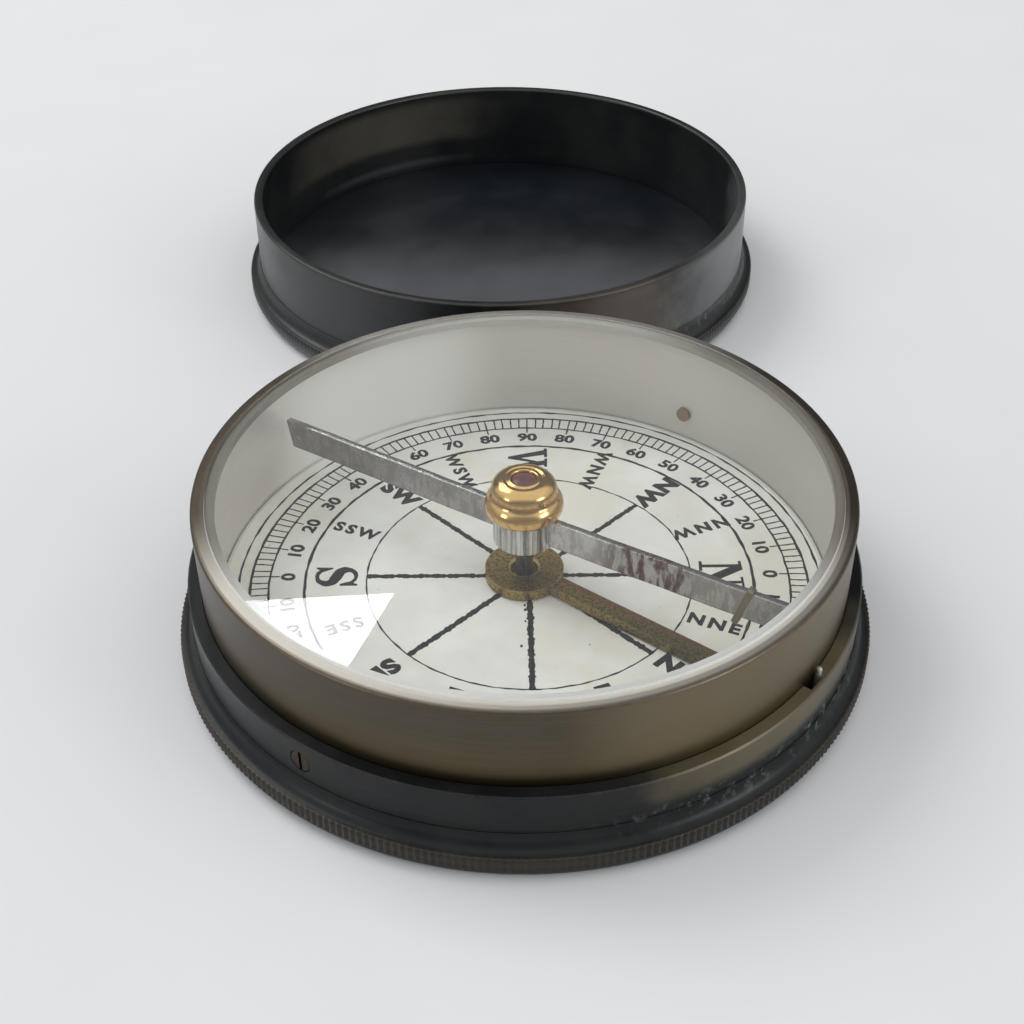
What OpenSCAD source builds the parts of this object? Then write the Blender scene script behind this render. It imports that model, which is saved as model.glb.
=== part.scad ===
/* [Brass box] */
// Outer radius of the brass box
box_r = 24.15; // [20:0.05:30]
// Thickness of the brass wall
box_wall = 0.9; // [0.7:0.05:1]
// Thickness of the box's floor
box_floor = 1; // [0.7:0.05:1.2]
// How far the rim is turned in over the glass
rim_lip = 0.1; // [0.08:0.02:0.3]
// Rounding of the rim's outer edge
rim_round = 0.24; // [0.1:0.02:0.3]
// Radial width of the seat ring under the glass
seat_w = 0.8; // [0.5:0.05:1]
// Height of the seat ring
seat_h = 0.5; // [0.3:0.05:0.8]

/* [Glass] */
// Thickness of the glass
glass_t = 0.9; // [0.7:0.05:1.5]
// Height of the glass's square edge
glass_edge = 0.08; // [0.06:0.02:0.3]
// Width of the polished bevel, seen from above
bevel_w = 0.35; // [0.3:0.05:1]
// Clearance round the glass
glass_fit = 0.05; // [0.02:0.01:0.1]
// Gap between the needle's cap and the glass
glass_gap = 0.1; // [0.08:0.02:1]

/* [Dial] */
// Thickness of the brass plate that carries the dial
dial_plate_t = 0.7; // [0.6:0.05:0.9]
// Thickness of the white dial
dial_t = 0.75; // [0.6:0.05:0.9]
// Clearance round the dial
dial_fit = 0.1; // [0.05:0.05:0.2]

/* [Case] */
// Thickness of the dark case wall
case_wall = 0.95; // [0.9:0.05:1.5]
// Clearance between the wall ring and the brass box
case_fit = 0.05; // [0.02:0.01:0.08]
// Height of the shoulder, on which the closed lid sits, above the dial
shoulder_h = 3.25; // [3.2:0.05:4.5]
// Thickness of the flat plates of base and lid
plate_t = 1; // [0.8:0.05:1.2]
// How far the milled edge stands out from the wall
mill_out = 1.15; // [0.8:0.05:1.6]
// Height at which the milled band begins, above the rounded foot
mill_low_z = 0.9; // [0.5:0.05:1.2]
// Height of the milled band
mill_h = 1.2; // [0.8:0.05:1.4]
// Depth of the milled grooves
mill_depth = 0.1; // [0.06:0.02:0.2]
// How far the groove bottoms stand proud of the bead and flare beside them
mill_step = 0.06; // [0.04:0.01:0.12]
// Number of grooves milled round the edge
mill_count = 320; // [120:10:340]
// How far the flat foot's edge lies in from the milled edge
foot_in = 1; // [0.6:0.1:2]
// Height of the hollow flare between the milled band and the joint line
flare_h = 1.15; // [1:0.05:1.4]
// Width of the joint line between the plate's lip and the wall ring
joint_gap = 0.1; // [0.06:0.02:0.24]
// Thickness of the plate's lip where it holds the wall ring
lip_t = 0.4; // [0.3:0.05:0.5]
// Break on the top edge of the case walls
wall_edge = 0.12; // [0.05:0.01:0.2]

/* [Lid] */
// Room between the closed lid's inside and the glass
lid_room = 1.95; // [0.4:0.05:4]
// Clearance between the lid's bore and the brass box
lid_fit = 0.1; // [0.05:0.05:0.3]
// Gap between the milled edges of case and lid, the lid lying behind the case
lid_gap = 2.8; // [0.5:0.1:20]
// Sideways place of the lid, which lies upside down
lid_x = -2.3; // [-8:0.1:8]

/* [Pivot] */
// Radius of the steel pivot
pivot_r = 0.65; // [0.5:0.05:0.8]
// Length of the pivot's ground point
point_l = 0.9; // [0.6:0.1:1.2]
// Radius of the pivot's very tip
tip_r = 0.05; // [0.03:0.01:0.08]
// How far the brass bush round the pivot's foot stands out from the pivot
bush_out = 1.05; // [0.8:0.05:1.4]
// Wall of the bush's rivet through the box floor
rivet_wall = 0.5; // [0.4:0.05:0.6]

/* [Needle] */
// Direction in which the weighted half of the needle points
needle_az = -32.5; // [-60:0.5:0]
// Gap between the needle's ends and the brass wall
needle_gap = 0.7; // [0.4:0.05:3]
// Height of the steel bar, which stands on edge
bar_h = 2.4; // [1.8:0.1:2.8]
// Thickness of the steel bar
bar_t = 0.55; // [0.4:0.05:0.7]
// How much the bar's slanting ends fall back
bar_slant = 0.35; // [0:0.05:0.6]
// Gap between the resting lifter and the hub's underside
hub_gap = 2.2; // [1.9:0.05:3]
// Height of the hub below the bars
hub_base = 0.85; // [0.75:0.05:1.5]
// Gap between the pivot and the hub's bore
bore_gap = 0.33; // [0.2:0.01:0.4]
// Chamfer round the hub's underside
hub_chamfer = 0.7; // [0.3:0.05:0.7]
// Wall of the cap's spigot inside the hub
spigot_wall = 0.52; // [0.4:0.02:0.7]
// Length of the cap's spigot inside the hub
spigot_l = 1.3; // [0.8:0.1:1.6]
// Wall of the hub round the spigot
hub_wall = 0.85; // [0.7:0.01:1.1]
// Height of the cap above the hub
cap_h = 2.85; // [2.4:0.05:3.4]
// How far the cap's lower bead stands out from the hub
bead_out = 0.55; // [0.4:0.05:1]
// How far the cap's upper dome stands out from the hub
dome_out = 0.04; // [0.02:0.01:0.2]
// Land in the cap's bore on which the jewel is set
jewel_land = 0.06; // [0.04:0.01:0.1]
// Length of the jewel
jewel_l = 1.5; // [1.2:0.05:1.8]
// Depth of the hollow in the jewel that takes the pivot's tip
jewel_cup = 0.5; // [0.3:0.05:0.6]
// Gap between the pivot's tip and the jewel
tip_gap = 0.04; // [0.02:0.01:0.08]
// Distance from the needle's end to the balance rider
rider_in = 4.15; // [2:0.05:12]
// Lean of the rider along the bar
rider_lean = 24; // [0:1:30]
// How far the rider's loop hangs below the bar
rider_hang = 1.1; // [0.6:0.1:1.4]
// Width of the rider's strip
rider_w = 0.5; // [0.3:0.05:0.8]
// Thickness of the rider's strip
rider_t = 0.14; // [0.08:0.01:0.2]

/* [Needle lifter] */
// Direction of the lifter's arm
lifter_az = -37.5; // [-60:0.5:-20]
// Gap between the pivot and the hole in the lifter's ring
ring_play = 0.4; // [0.3:0.05:0.5]
// Width of the lifter's ring round its hole
ring_w = 1.95; // [1.6:0.05:2.3]
// Chamfer round the hole
ring_chamfer = 0.14; // [0.1:0.02:0.3]
// Thickness of the lifter
lifter_t = 0.85; // [0.7:0.05:1]
// Width of the lifter's arm
arm_w = 1.4; // [1.1:0.05:1.5]
// Gap between the resting lifter and the dial
lifter_gap = 0.15; // [0.08:0.01:0.25]
// Distance from the brass wall to the lifter's pin
pin_in = 4.05; // [3:0.05:8]
// Radius of the lifter's pin
pin_r = 0.22; // [0.18:0.01:0.24]
// Running clearance round the pin
pin_fit = 0.04; // [0.02:0.01:0.06]
// Thickness of each of the two lugs that hold the pin
lug_t = 0.5; // [0.4:0.05:0.6]
// Length of a lug along the arm
lug_l = 1.7; // [1.5:0.05:2]
// Gap between a lug and the arm
lug_gap = 0.1; // [0.08:0.01:0.15]
// Thickness of the lifter's tail
tail_t = 0.55; // [0.45:0.05:0.65]
// Rise of the tail above the arm
tail_rise = 0.15; // [0.12:0.01:0.2]
// Thickness of the case wall that is left outside the stud's pocket
pocket_wall = 0.3; // [0.25:0.01:0.35]
// Clearance beside the stud's collar in the pocket
collar_fit = 0.04; // [0.02:0.01:0.06]
// How far the stud's collar stands out from the stud
collar_out = 0.06; // [0.04:0.01:0.1]
// Height of the stud's collar
collar_h = 0.4; // [0.3:0.05:0.5]
// How far the stud stands beside the arm's middle
stud_side = 0.9; // [0.4:0.05:1.1]
// Length of the tail's wide end, which lies under the stud
tail_foot = 1.6; // [1.2:0.05:1.9]
// How far the resting stud stands out of the shoulder
stud_out = 0.8; // [0.6:0.05:1]
// Gap between the stud and the tail
stud_gap = 0.05; // [0.03:0.01:0.08]
// Clearance round the stud in its hole
stud_fit = 0.03; // [0.02:0.01:0.05]

/* [Fastenings and spring] */
// Radius of the two screws that hold the box in the case
screw_r = 0.6; // [0.5:0.05:0.65]
// How far a screw's head stands out from its shank
head_out = 0.25; // [0.15:0.05:0.3]
// Depth of a screw's head
head_t = 0.45; // [0.3:0.05:0.5]
// How far a screw's point stands inside the box
screw_out = 0.3; // [0.1:0.05:0.4]
// Width of the slot across a screw's head
slot_w = 0.24; // [0.16:0.02:0.3]
// Depth of the slot across a screw's head
slot_d = 0.24; // [0.16:0.02:0.28]
// Direction of the front screw; the other is opposite
screw_az = -126.2; // [-135:0.1:-115]
// How far the front screw lies below the shoulder
front_screw_down = 1.75; // [1.3:0.05:1.9]
// How far the back screw lies below the shoulder
back_screw_down = 1; // [1:0.05:1.9]
// Thickness of the leaf spring under the lifter's tail
leaf_t = 0.12; // [0.08:0.01:0.16]
// Width of the leaf spring
leaf_w = 0.35; // [0.3:0.05:0.4]
// Length of the leaf's flat foot
leaf_foot = 0.9; // [0.6:0.05:1]

/* [Hidden] */
$fn = 96;

// Overrun of every cut past the face that it opens, and the fit of seated pieces
cut = 0.5;
seat_fit = 0.02;

// Radii of the box and the case round it
box_bore_r = box_r - box_wall;
ring_bore_r = box_r + case_fit;
wall_r = ring_bore_r + case_wall;
mill_r = wall_r + mill_out;
foot_r = mill_r - foot_in;

// Heights inside the box, each piece lying on the one below
box_z = plate_t;
floor_z = box_z + box_floor;
dial_plate_z = floor_z + dial_plate_t;
dial_z = dial_plate_z + dial_t;
dial_r = box_bore_r - dial_fit;
shoulder_z = dial_z + shoulder_h;

// The case: the wall ring's spigot stands inside the lip of the plate
spigot_wall_r = wall_r - lip_t;
lip_top_r = wall_r + wall_edge / 2;
mill_top_z = mill_low_z + mill_h;
joint_z = mill_top_z + flare_h;
lip_top_z = joint_z - joint_gap / 2;
ring_step_z = joint_z + joint_gap / 2;
arc_steps = 8;

// The pivot and what goes round it
bush_r = pivot_r + bush_out;
bush_shank_r = pivot_r + rivet_wall;
hub_bore_r = pivot_r + bore_gap;
spigot_r = hub_bore_r + spigot_wall;
hub_r = spigot_r + hub_wall;
bead_r = hub_r + bead_out;
dome_r = hub_r + dome_out;
jewel_r = hub_bore_r - jewel_land - seat_fit;

// The lifter, drawn along +X from the case's axis and turned to its direction
ring_hole_r = pivot_r + ring_play;
ring_r = ring_hole_r + ring_w;
lifter_z = dial_z + lifter_gap;
lifter_top_z = lifter_z + lifter_t;
pin_at = box_bore_r - pin_in;
pin_z = lifter_z + lifter_t / 2;
lug_side = arm_w / 2 + lug_gap;
lug_head_r = pin_z - dial_z;
tail_top_z = lifter_top_z + tail_rise;
tail_clear = 0.15;
tail_start = pin_at + lug_l / 2 + tail_clear;
tenon_r = lug_t / 2;

// The needle: the bars stand in slots of the hub, the cap's spigot in its mouth
needle_l = box_bore_r - needle_gap;
rider_at = needle_l - rider_in;
rider_h = bar_h + rider_hang;
hub_z = lifter_top_z + hub_gap;
bar_clear = 0.05;
bar_z = hub_z + hub_base;
hub_top_z = bar_z + bar_h + bar_clear;
cap_top_z = hub_top_z + cap_h;
jewel_recess = 0.18;
jewel_top_z = cap_top_z - jewel_recess;
jewel_z = jewel_top_z - jewel_l;
jewel_mouth_share = 0.7;
tip_z = jewel_z + jewel_cup - tip_gap;

// The glass lies on its seat ring, with its bevel just under the rim's lip
glass_r = box_bore_r - glass_fit;
glass_z = cap_top_z + glass_gap;
bevel_rise = glass_t - glass_edge;
lip_over = rim_lip - glass_fit;
lip_edge = 0.06;
rim_z = glass_z + glass_edge + bevel_rise * lip_over / bevel_w + seat_fit + lip_edge;

// The lid: its inside clears the glass when its mouth stands on the shoulder
lid_h = plate_t + glass_z + glass_t - shoulder_z + lid_room;
lid_y = 2 * mill_r + lid_gap;

// The pocket in the wall ring, in which the tail, the stud and the leaf spring move
pocket_out_r = wall_r - pocket_wall;
pocket_z = plate_t + box_floor;
pocket_far = 2.5;
collar_r = (pocket_out_r - ring_bore_r) / 2 - collar_fit;
stud_r = collar_r - collar_out;
stud_ring_r = (pocket_out_r + ring_bore_r) / 2;
stud_at = sqrt(stud_ring_r * stud_ring_r - stud_side * stud_side);
pocket_roof_z = tail_top_z + stud_gap + 1.5 * collar_h;
tail_end = stud_at + collar_r - tail_clear / 2;
notch_far = 0.6;
leaf_out_r = ring_bore_r + stud_fit + leaf_w;
slot_side = 0.25;
tail_side = stud_side + collar_r;
slot_low = 0.75;
slot_high = 0.3;

// The case screws
head_r = screw_r + head_out;
front_screw_z = shoulder_z - front_screw_down;
back_screw_z = shoulder_z - back_screw_down;

// The points of a quarter round that swells outwards from (r, z) at its foot to (r + w, z + h)
function bead_arc(r, z, w, h) =
    [for (i = [0:arc_steps]) let (a = 90 * i / arc_steps) [r + w * sin(a), z + h * (1 - cos(a))]];

// The points of a quarter hollow that runs in from (r, z) at its foot to (r - w, z + h)
function cove_arc(r, z, w, h) =
    [for (i = [0:arc_steps]) let (a = 90 * i / arc_steps) [r - w * sin(a), z + h * (1 - cos(a))]];

// The points of a bulge on a turned piece, from radius r0 at z0 out to r1 at mid and back to r2 at z1
function bulge(r0, z0, r1, mid, r2, z1) =
    [for (i = [0:2 * arc_steps]) let (a = 180 * i / (2 * arc_steps), lower = a < 90)
        [(lower ? r0 : r2) + (r1 - (lower ? r0 : r2)) * sin(a),
         mid - (lower ? mid - z0 : z1 - mid) * cos(a)]];

// A plate of the case: flat foot, milled edge, and a flared lip that holds the wall ring
module case_plate() {
    tooth = 360 / mill_count;
    core_r = mill_r - mill_depth - mill_step;
    rotate_extrude()
        polygon(concat(
            [[0, 0]],
            bead_arc(foot_r, 0, core_r - foot_r, mill_low_z),
            cove_arc(core_r, mill_top_z, core_r - lip_top_r, lip_top_z - mill_top_z),
            [[spigot_wall_r + seat_fit, lip_top_z],
             [spigot_wall_r + seat_fit, plate_t],
             [0, plate_t]]));
    translate([0, 0, mill_low_z])
        linear_extrude(mill_top_z - mill_low_z)
            difference() {
                polygon([for (i = [0:2 * mill_count - 1]) let (r = mill_r - mill_depth * (i % 2))
                    [r * cos(i * tooth / 2), r * sin(i * tooth / 2)]]);
                circle(foot_r);
            }
}

// A wall ring of the case, its spigot inside the plate's lip, up to the height given
module case_ring(top_z, bore_r) {
    rotate_extrude()
        polygon([[bore_r, plate_t],
                 [spigot_wall_r, plate_t],
                 [spigot_wall_r, ring_step_z],
                 [wall_r - wall_edge, ring_step_z],
                 [wall_r, ring_step_z + wall_edge],
                 [wall_r, top_z - wall_edge],
                 [wall_r - wall_edge, top_z],
                 [bore_r, top_z]]);
}

// Turns a piece that is drawn along +X into the direction of a case screw
module at_screws() {
    rotate([0, 0, screw_az]) translate([0, 0, front_screw_z]) children();
    rotate([0, 0, screw_az + 180]) translate([0, 0, back_screw_z]) children();
}

// A cylinder along +X from one radius of the case to another
module along_x(x0, x1, r0, r1) {
    translate([x0, 0, 0]) rotate([0, 90, 0]) cylinder(h = x1 - x0, r1 = r0, r2 = r1);
}

module base_plate() {
    color([0.2, 0.22, 0.23])
        case_plate();
}

module base_ring() {
    color([0.19, 0.21, 0.22])
        difference() {
            case_ring(shoulder_z, ring_bore_r);
            at_screws() {
                along_x(box_r - cut, wall_r + cut, screw_r + seat_fit, screw_r + seat_fit);
                along_x(wall_r - head_t - seat_fit, wall_r + cut, head_r + seat_fit,
                        head_r + seat_fit);
            }
            rotate([0, 0, lifter_az]) {
                intersection() {
                    translate([0, -pocket_far, pocket_z])
                        cube([wall_r, pocket_far + tail_side + slot_side,
                              pocket_roof_z - pocket_z]);
                    cylinder(h = shoulder_z, r = pocket_out_r);
                }
                intersection() {
                    translate([0, -notch_far, pocket_z])
                        cube([wall_r, notch_far + stud_side, shoulder_z + cut - pocket_z]);
                    cylinder(h = shoulder_z + cut, r = pocket_out_r);
                }
                translate([stud_at, stud_side, pocket_z])
                    cylinder(h = shoulder_z + cut - pocket_z, r = stud_r + stud_fit);
            }
        }
}

module compass_box() {
    inner_lip_r = box_bore_r - rim_lip;
    lip_low_z = glass_z + glass_edge + seat_fit;
    color([0.45, 0.4, 0.28])
        difference() {
            rotate_extrude()
                polygon(concat(
                    [[bush_shank_r + seat_fit, box_z],
                     [box_r - wall_edge, box_z],
                     [box_r, box_z + wall_edge]],
                    [for (i = [0:arc_steps]) let (a = 90 * i / arc_steps)
                        [box_r - rim_round * (1 - cos(a)), rim_z - rim_round * (1 - sin(a))]],
                    [[inner_lip_r, rim_z],
                     [inner_lip_r, rim_z - lip_edge],
                     [box_bore_r, lip_low_z],
                     [box_bore_r, floor_z],
                     [bush_shank_r + seat_fit, floor_z]]));
            at_screws()
                along_x(box_bore_r - cut, box_r + cut, screw_r + seat_fit, screw_r + seat_fit);
            rotate([0, 0, lifter_az])
                translate([box_bore_r - cut, -arm_w / 2 - slot_side, tail_top_z - tail_t - slot_low])
                    cube([box_wall + 2 * cut, arm_w / 2 + tail_side + 2 * slot_side,
                          slot_low + tail_t + slot_high]);
        }
}

module case_screws() {
    face_r = wall_r - seat_fit;
    color([0.36, 0.29, 0.22])
        at_screws()
            difference() {
                union() {
                    along_x(box_bore_r - screw_out, face_r - head_t / 2, screw_r, screw_r);
                    along_x(face_r - head_t, face_r - wall_edge / 2, head_r, head_r);
                    along_x(face_r - wall_edge / 2, face_r, head_r, head_r - wall_edge / 2);
                }
                translate([face_r - slot_d, -slot_w / 2, -head_r - cut])
                    cube([slot_d + cut, slot_w, 2 * (head_r + cut)]);
            }
}

module dial_plate() {
    color([0.72, 0.58, 0.32])
        translate([0, 0, floor_z])
            difference() {
                cylinder(h = dial_plate_t, r = dial_r);
                translate([0, 0, -cut])
                    cylinder(h = dial_plate_t + 2 * cut, r = bush_r + seat_fit);
                tenon_holes();
            }
}

module dial() {
    color([0.9, 0.89, 0.85])
        translate([0, 0, dial_plate_z])
            difference() {
                cylinder(h = dial_t, r = dial_r);
                translate([0, 0, -cut])
                    cylinder(h = dial_t + 2 * cut, r = bush_r + seat_fit);
                tenon_holes();
            }
}

// The two holes in dial and plate for the rivets under the lifter's lugs
module tenon_holes() {
    rotate([0, 0, lifter_az])
        for (side = [-1, 1])
            translate([pin_at, side * (lug_side + lug_t / 2), -cut])
                cylinder(h = dial_plate_t + dial_t + 2 * cut, r = tenon_r + seat_fit);
}

module glass_seat() {
    seat_r = box_bore_r - seat_fit;
    color([0.78, 0.76, 0.7])
        rotate_extrude()
            polygon([[seat_r - seat_w, glass_z - seat_h],
                     [seat_r, glass_z - seat_h],
                     [seat_r, glass_z],
                     [seat_r - seat_w, glass_z]]);
}

module bevelled_glass() {
    color([0.8, 0.88, 0.88, 0.35])
        translate([0, 0, glass_z])
            rotate_extrude()
                polygon([[0, 0],
                         [glass_r, 0],
                         [glass_r, glass_edge],
                         [glass_r - bevel_w, glass_t],
                         [0, glass_t]]);
}

module pivot_bush() {
    color([0.78, 0.62, 0.34])
        rotate_extrude()
            polygon([[pivot_r, box_z],
                     [bush_shank_r, box_z],
                     [bush_shank_r, floor_z],
                     [bush_r, floor_z],
                     [bush_r, dial_z],
                     [pivot_r, dial_z]]);
}

module pivot_pin() {
    shaft_top_z = tip_z - point_l;
    color([0.3, 0.31, 0.32])
        rotate_extrude()
            polygon([[0, box_z],
                     [pivot_r, box_z],
                     [pivot_r, shaft_top_z],
                     [tip_r, tip_z],
                     [0, tip_z]]);
}

module lifter_lugs() {
    color([0.6, 0.48, 0.28])
        rotate([0, 0, lifter_az])
            for (side = [-1, 1])
                difference() {
                    union() {
                        translate([pin_at, side * (lug_side + lug_t / 2), pin_z])
                            rotate([90, 0, 0])
                                linear_extrude(lug_t, center = true)
                                    lug_outline();
                        translate([pin_at, side * (lug_side + lug_t / 2), floor_z])
                            cylinder(h = dial_z - floor_z, r = tenon_r);
                    }
                    translate([pin_at, 0, pin_z])
                        rotate([90, 0, 0])
                            cylinder(h = 2 * (lug_side + lug_t + cut), r = pin_r, center = true);
                }
}

// A lug seen from the side: a round head on a straight neck, over a longer foot
module lug_outline() {
    circle(lug_head_r);
    translate([-lug_head_r, -lug_head_r]) square([2 * lug_head_r, lug_head_r]);
    translate([-lug_l / 2, -lug_head_r]) square([lug_l, lug_head_r / 2]);
}

module lifter_pin() {
    pin_l = 2 * (lug_side + lug_t) + 2 * wall_edge;
    color([0.55, 0.55, 0.55])
        rotate([0, 0, lifter_az])
            translate([pin_at, 0, pin_z])
                rotate([90, 0, 0])
                    cylinder(h = pin_l, r = pin_r, center = true);
}

// The leaf lies with its foot on the pocket's floor and bears up under the tail
module lifter_spring() {
    leaf_y = -pocket_far + wall_edge;
    leaf_top_z = tail_top_z - tail_t - stud_gap - leaf_t;
    rise = leaf_top_z - pocket_z;
    run = -leaf_y - leaf_foot;
    lower = [for (i = [0:arc_steps]) let (share = i / arc_steps)
        [leaf_y + leaf_foot + run * share, pocket_z + rise * (1 - cos(180 * share)) / 2]];
    upper = [for (i = [arc_steps:-1:0]) lower[i] + [0, leaf_t]];
    color([0.5, 0.5, 0.48])
        rotate([0, 0, lifter_az])
            translate([leaf_out_r, 0, 0])
                rotate([90, 0, -90])
                    linear_extrude(leaf_w)
                        mirror([1, 0])
                            polygon(concat([[leaf_y, pocket_z]], lower, upper,
                                           [[leaf_y, pocket_z + leaf_t]]));
}

// One half of the needle's bar, lying along +X, its end cut on a slant
module bar_half() {
    rotate([90, 0, 0])
        linear_extrude(bar_t, center = true)
            polygon([[spigot_r + seat_fit, bar_z],
                     [needle_l - bar_slant, bar_z],
                     [needle_l, bar_z + bar_h],
                     [spigot_r + seat_fit, bar_z + bar_h]]);
}

module needle_bars() {
    color([0.62, 0.61, 0.6])
        rotate([0, 0, needle_az]) {
            bar_half();
            rotate([0, 0, 180]) bar_half();
        }
}

module needle_hub() {
    spigot_floor_z = hub_top_z - spigot_l;
    color([0.68, 0.68, 0.67])
        rotate([0, 0, needle_az])
            difference() {
                rotate_extrude()
                    polygon([[hub_bore_r, hub_z],
                             [hub_r - hub_chamfer, hub_z],
                             [hub_r, hub_z + hub_chamfer],
                             [hub_r, hub_top_z],
                             [spigot_r + seat_fit, hub_top_z],
                             [spigot_r + seat_fit, spigot_floor_z],
                             [hub_bore_r, spigot_floor_z]]);
                for (side = [0, 180])
                    rotate([0, 0, side])
                        translate([spigot_r + seat_fit, -bar_t / 2, bar_z])
                            cube([hub_r, bar_t, bar_h + cut]);
            }
}

// The cap is turned from brass: a full bead, a neck, a dome and a ring that holds the jewel
module needle_cap() {
    foot_z = hub_top_z;
    bead_mid_z = foot_z + 0.27 * cap_h;
    bead_top_z = foot_z + 0.66 * cap_h;
    dome_mid_z = foot_z + 0.82 * cap_h;
    dome_top_z = foot_z + 0.98 * cap_h;
    neck_r = 0.94 * dome_r;
    crown_r = 0.8 * dome_r;
    hollow_r = 0.62 * dome_r;
    color([0.83, 0.66, 0.33])
        rotate_extrude()
            polygon(concat(
                [[hub_bore_r, foot_z - spigot_l],
                 [spigot_r, foot_z - spigot_l],
                 [spigot_r, foot_z]],
                bulge(hub_r, foot_z, bead_r, bead_mid_z, neck_r, bead_top_z),
                bulge(neck_r, bead_top_z + seat_fit, dome_r, dome_mid_z, crown_r, dome_top_z),
                [[crown_r - wall_edge, cap_top_z],
                 [hollow_r, cap_top_z],
                 [jewel_r + seat_fit, jewel_top_z],
                 [jewel_r + seat_fit, jewel_z],
                 [hub_bore_r, jewel_z]]));
}

module cap_jewel() {
    color([0.5, 0.3, 0.32])
        difference() {
            translate([0, 0, jewel_z])
                cylinder(h = jewel_l, r = jewel_r);
            translate([0, 0, jewel_z])
                cylinder(h = jewel_cup, r1 = jewel_mouth_share * jewel_r, r2 = 0);
        }
}

// A strip of brass bent into a loop round the bar, hanging askew from its top edge
module balance_rider() {
    loop_t = bar_t + 2 * (rider_t + seat_fit);
    top_z = bar_z + bar_h + rider_t + seat_fit + rider_w / 2 * sin(rider_lean);
    color([0.6, 0.47, 0.25])
        rotate([0, 0, needle_az])
            translate([rider_at, 0, top_z])
                rotate([0, rider_lean, 0])
                    difference() {
                        translate([-rider_w / 2, -loop_t / 2, -rider_h])
                            cube([rider_w, loop_t, rider_h]);
                        translate([-rider_w, -loop_t / 2 + rider_t, -rider_h + rider_t])
                            cube([2 * rider_w, loop_t - 2 * rider_t, rider_h - 2 * rider_t]);
                    }
}

module lifter() {
    color([0.6, 0.48, 0.27])
        rotate([0, 0, lifter_az])
            difference() {
                union() {
                    translate([0, 0, lifter_z])
                        cylinder(h = lifter_t, r = ring_r);
                    translate([ring_hole_r + ring_chamfer + cut, -arm_w / 2, lifter_z])
                        cube([tail_start - ring_hole_r - ring_chamfer - cut, arm_w, lifter_t]);
                    translate([pin_at + lug_l / 2, -arm_w / 2, tail_top_z - tail_t])
                        cube([tail_end - pin_at - lug_l / 2, arm_w, tail_t]);
                    translate([tail_end - tail_foot, -arm_w / 2, tail_top_z - tail_t])
                        cube([tail_foot, arm_w / 2 + tail_side, tail_t]);
                }
                translate([0, 0, lifter_z - cut])
                    cylinder(h = lifter_t + 2 * cut, r = ring_hole_r);
                translate([0, 0, lifter_top_z - ring_chamfer])
                    cylinder(h = ring_chamfer, r1 = ring_hole_r, r2 = ring_hole_r + ring_chamfer);
                translate([pin_at, 0, pin_z])
                    rotate([90, 0, 0])
                        cylinder(h = arm_w + 2 * cut, r = pin_r + pin_fit, center = true);
            }
}

module lifter_stud() {
    foot_z = tail_top_z + stud_gap;
    top_z = shoulder_z + stud_out;
    color([0.6, 0.62, 0.56])
        rotate([0, 0, lifter_az])
            translate([stud_at, stud_side, 0])
                rotate_extrude()
                    polygon(concat(
                        [[0, foot_z]],
                        bead_arc(collar_r / 2, foot_z, collar_r / 2, collar_h / 2),
                        [[collar_r, foot_z + collar_h],
                         [stud_r, foot_z + collar_h],
                         [stud_r, top_z - stud_r]],
                        [for (i = [1:arc_steps]) let (a = 90 * i / arc_steps)
                            [stud_r * cos(a), top_z - stud_r * (1 - sin(a))]]));
}

module lid_plate() {
    color([0.2, 0.22, 0.23])
        translate([lid_x, lid_y, 0]) case_plate();
}

module lid_ring() {
    color([0.17, 0.19, 0.2])
        translate([lid_x, lid_y, 0]) case_ring(lid_h, box_r + lid_fit);
}

base_plate();
base_ring();
compass_box();
case_screws();
dial_plate();
dial();
glass_seat();
bevelled_glass();
pivot_bush();
pivot_pin();
lifter_lugs();
lifter_pin();
lifter_spring();
needle_bars();
needle_hub();
needle_cap();
cap_jewel();
balance_rider();
lifter();
lifter_stud();
lid_plate();
lid_ring();
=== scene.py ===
import bmesh
import bpy
import numpy as np
from mathutils import Matrix, Vector


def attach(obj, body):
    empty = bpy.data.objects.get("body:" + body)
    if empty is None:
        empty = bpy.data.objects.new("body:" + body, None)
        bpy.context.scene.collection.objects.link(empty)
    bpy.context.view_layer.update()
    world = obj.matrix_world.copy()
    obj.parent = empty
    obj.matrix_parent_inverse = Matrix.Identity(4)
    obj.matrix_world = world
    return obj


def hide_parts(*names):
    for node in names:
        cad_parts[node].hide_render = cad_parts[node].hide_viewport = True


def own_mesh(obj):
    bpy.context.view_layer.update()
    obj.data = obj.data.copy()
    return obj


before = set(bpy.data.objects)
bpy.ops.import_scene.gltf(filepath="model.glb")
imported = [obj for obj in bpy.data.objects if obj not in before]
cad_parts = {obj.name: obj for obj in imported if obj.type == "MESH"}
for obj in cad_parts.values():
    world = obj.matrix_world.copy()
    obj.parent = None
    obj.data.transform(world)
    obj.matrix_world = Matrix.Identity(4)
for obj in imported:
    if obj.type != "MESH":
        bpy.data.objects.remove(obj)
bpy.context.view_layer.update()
mm = 0.001


# The table: a wide pale top, lit evenly from above like a light tent that is open, and so dark,
# behind the compass and where the camera looks in. Soft lamps stand at the back left and on both
# sides in front. A bright window shows its picture in the compass glass, and one to the right
# glints on the cap.

def supply(tree, step, *values, **named):
    """Fills a shader node's inputs, in order or by name (with underscores), from plain values or
    other nodes' outputs. Three numbers also make a colour, and None leaves an input as it is."""
    inputs = [(step.inputs[i], value) for i, value in enumerate(values)]
    inputs += [(step.inputs[name.replace("_", " ")], value) for name, value in named.items()]
    for socket, value in inputs:
        if isinstance(value, bpy.types.NodeSocket):
            tree.links.new(value, socket)
        elif value is not None:
            rgb = socket.type == "RGBA" and len(value) == 3
            socket.default_value = (*value, 1) if rgb else value


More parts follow.
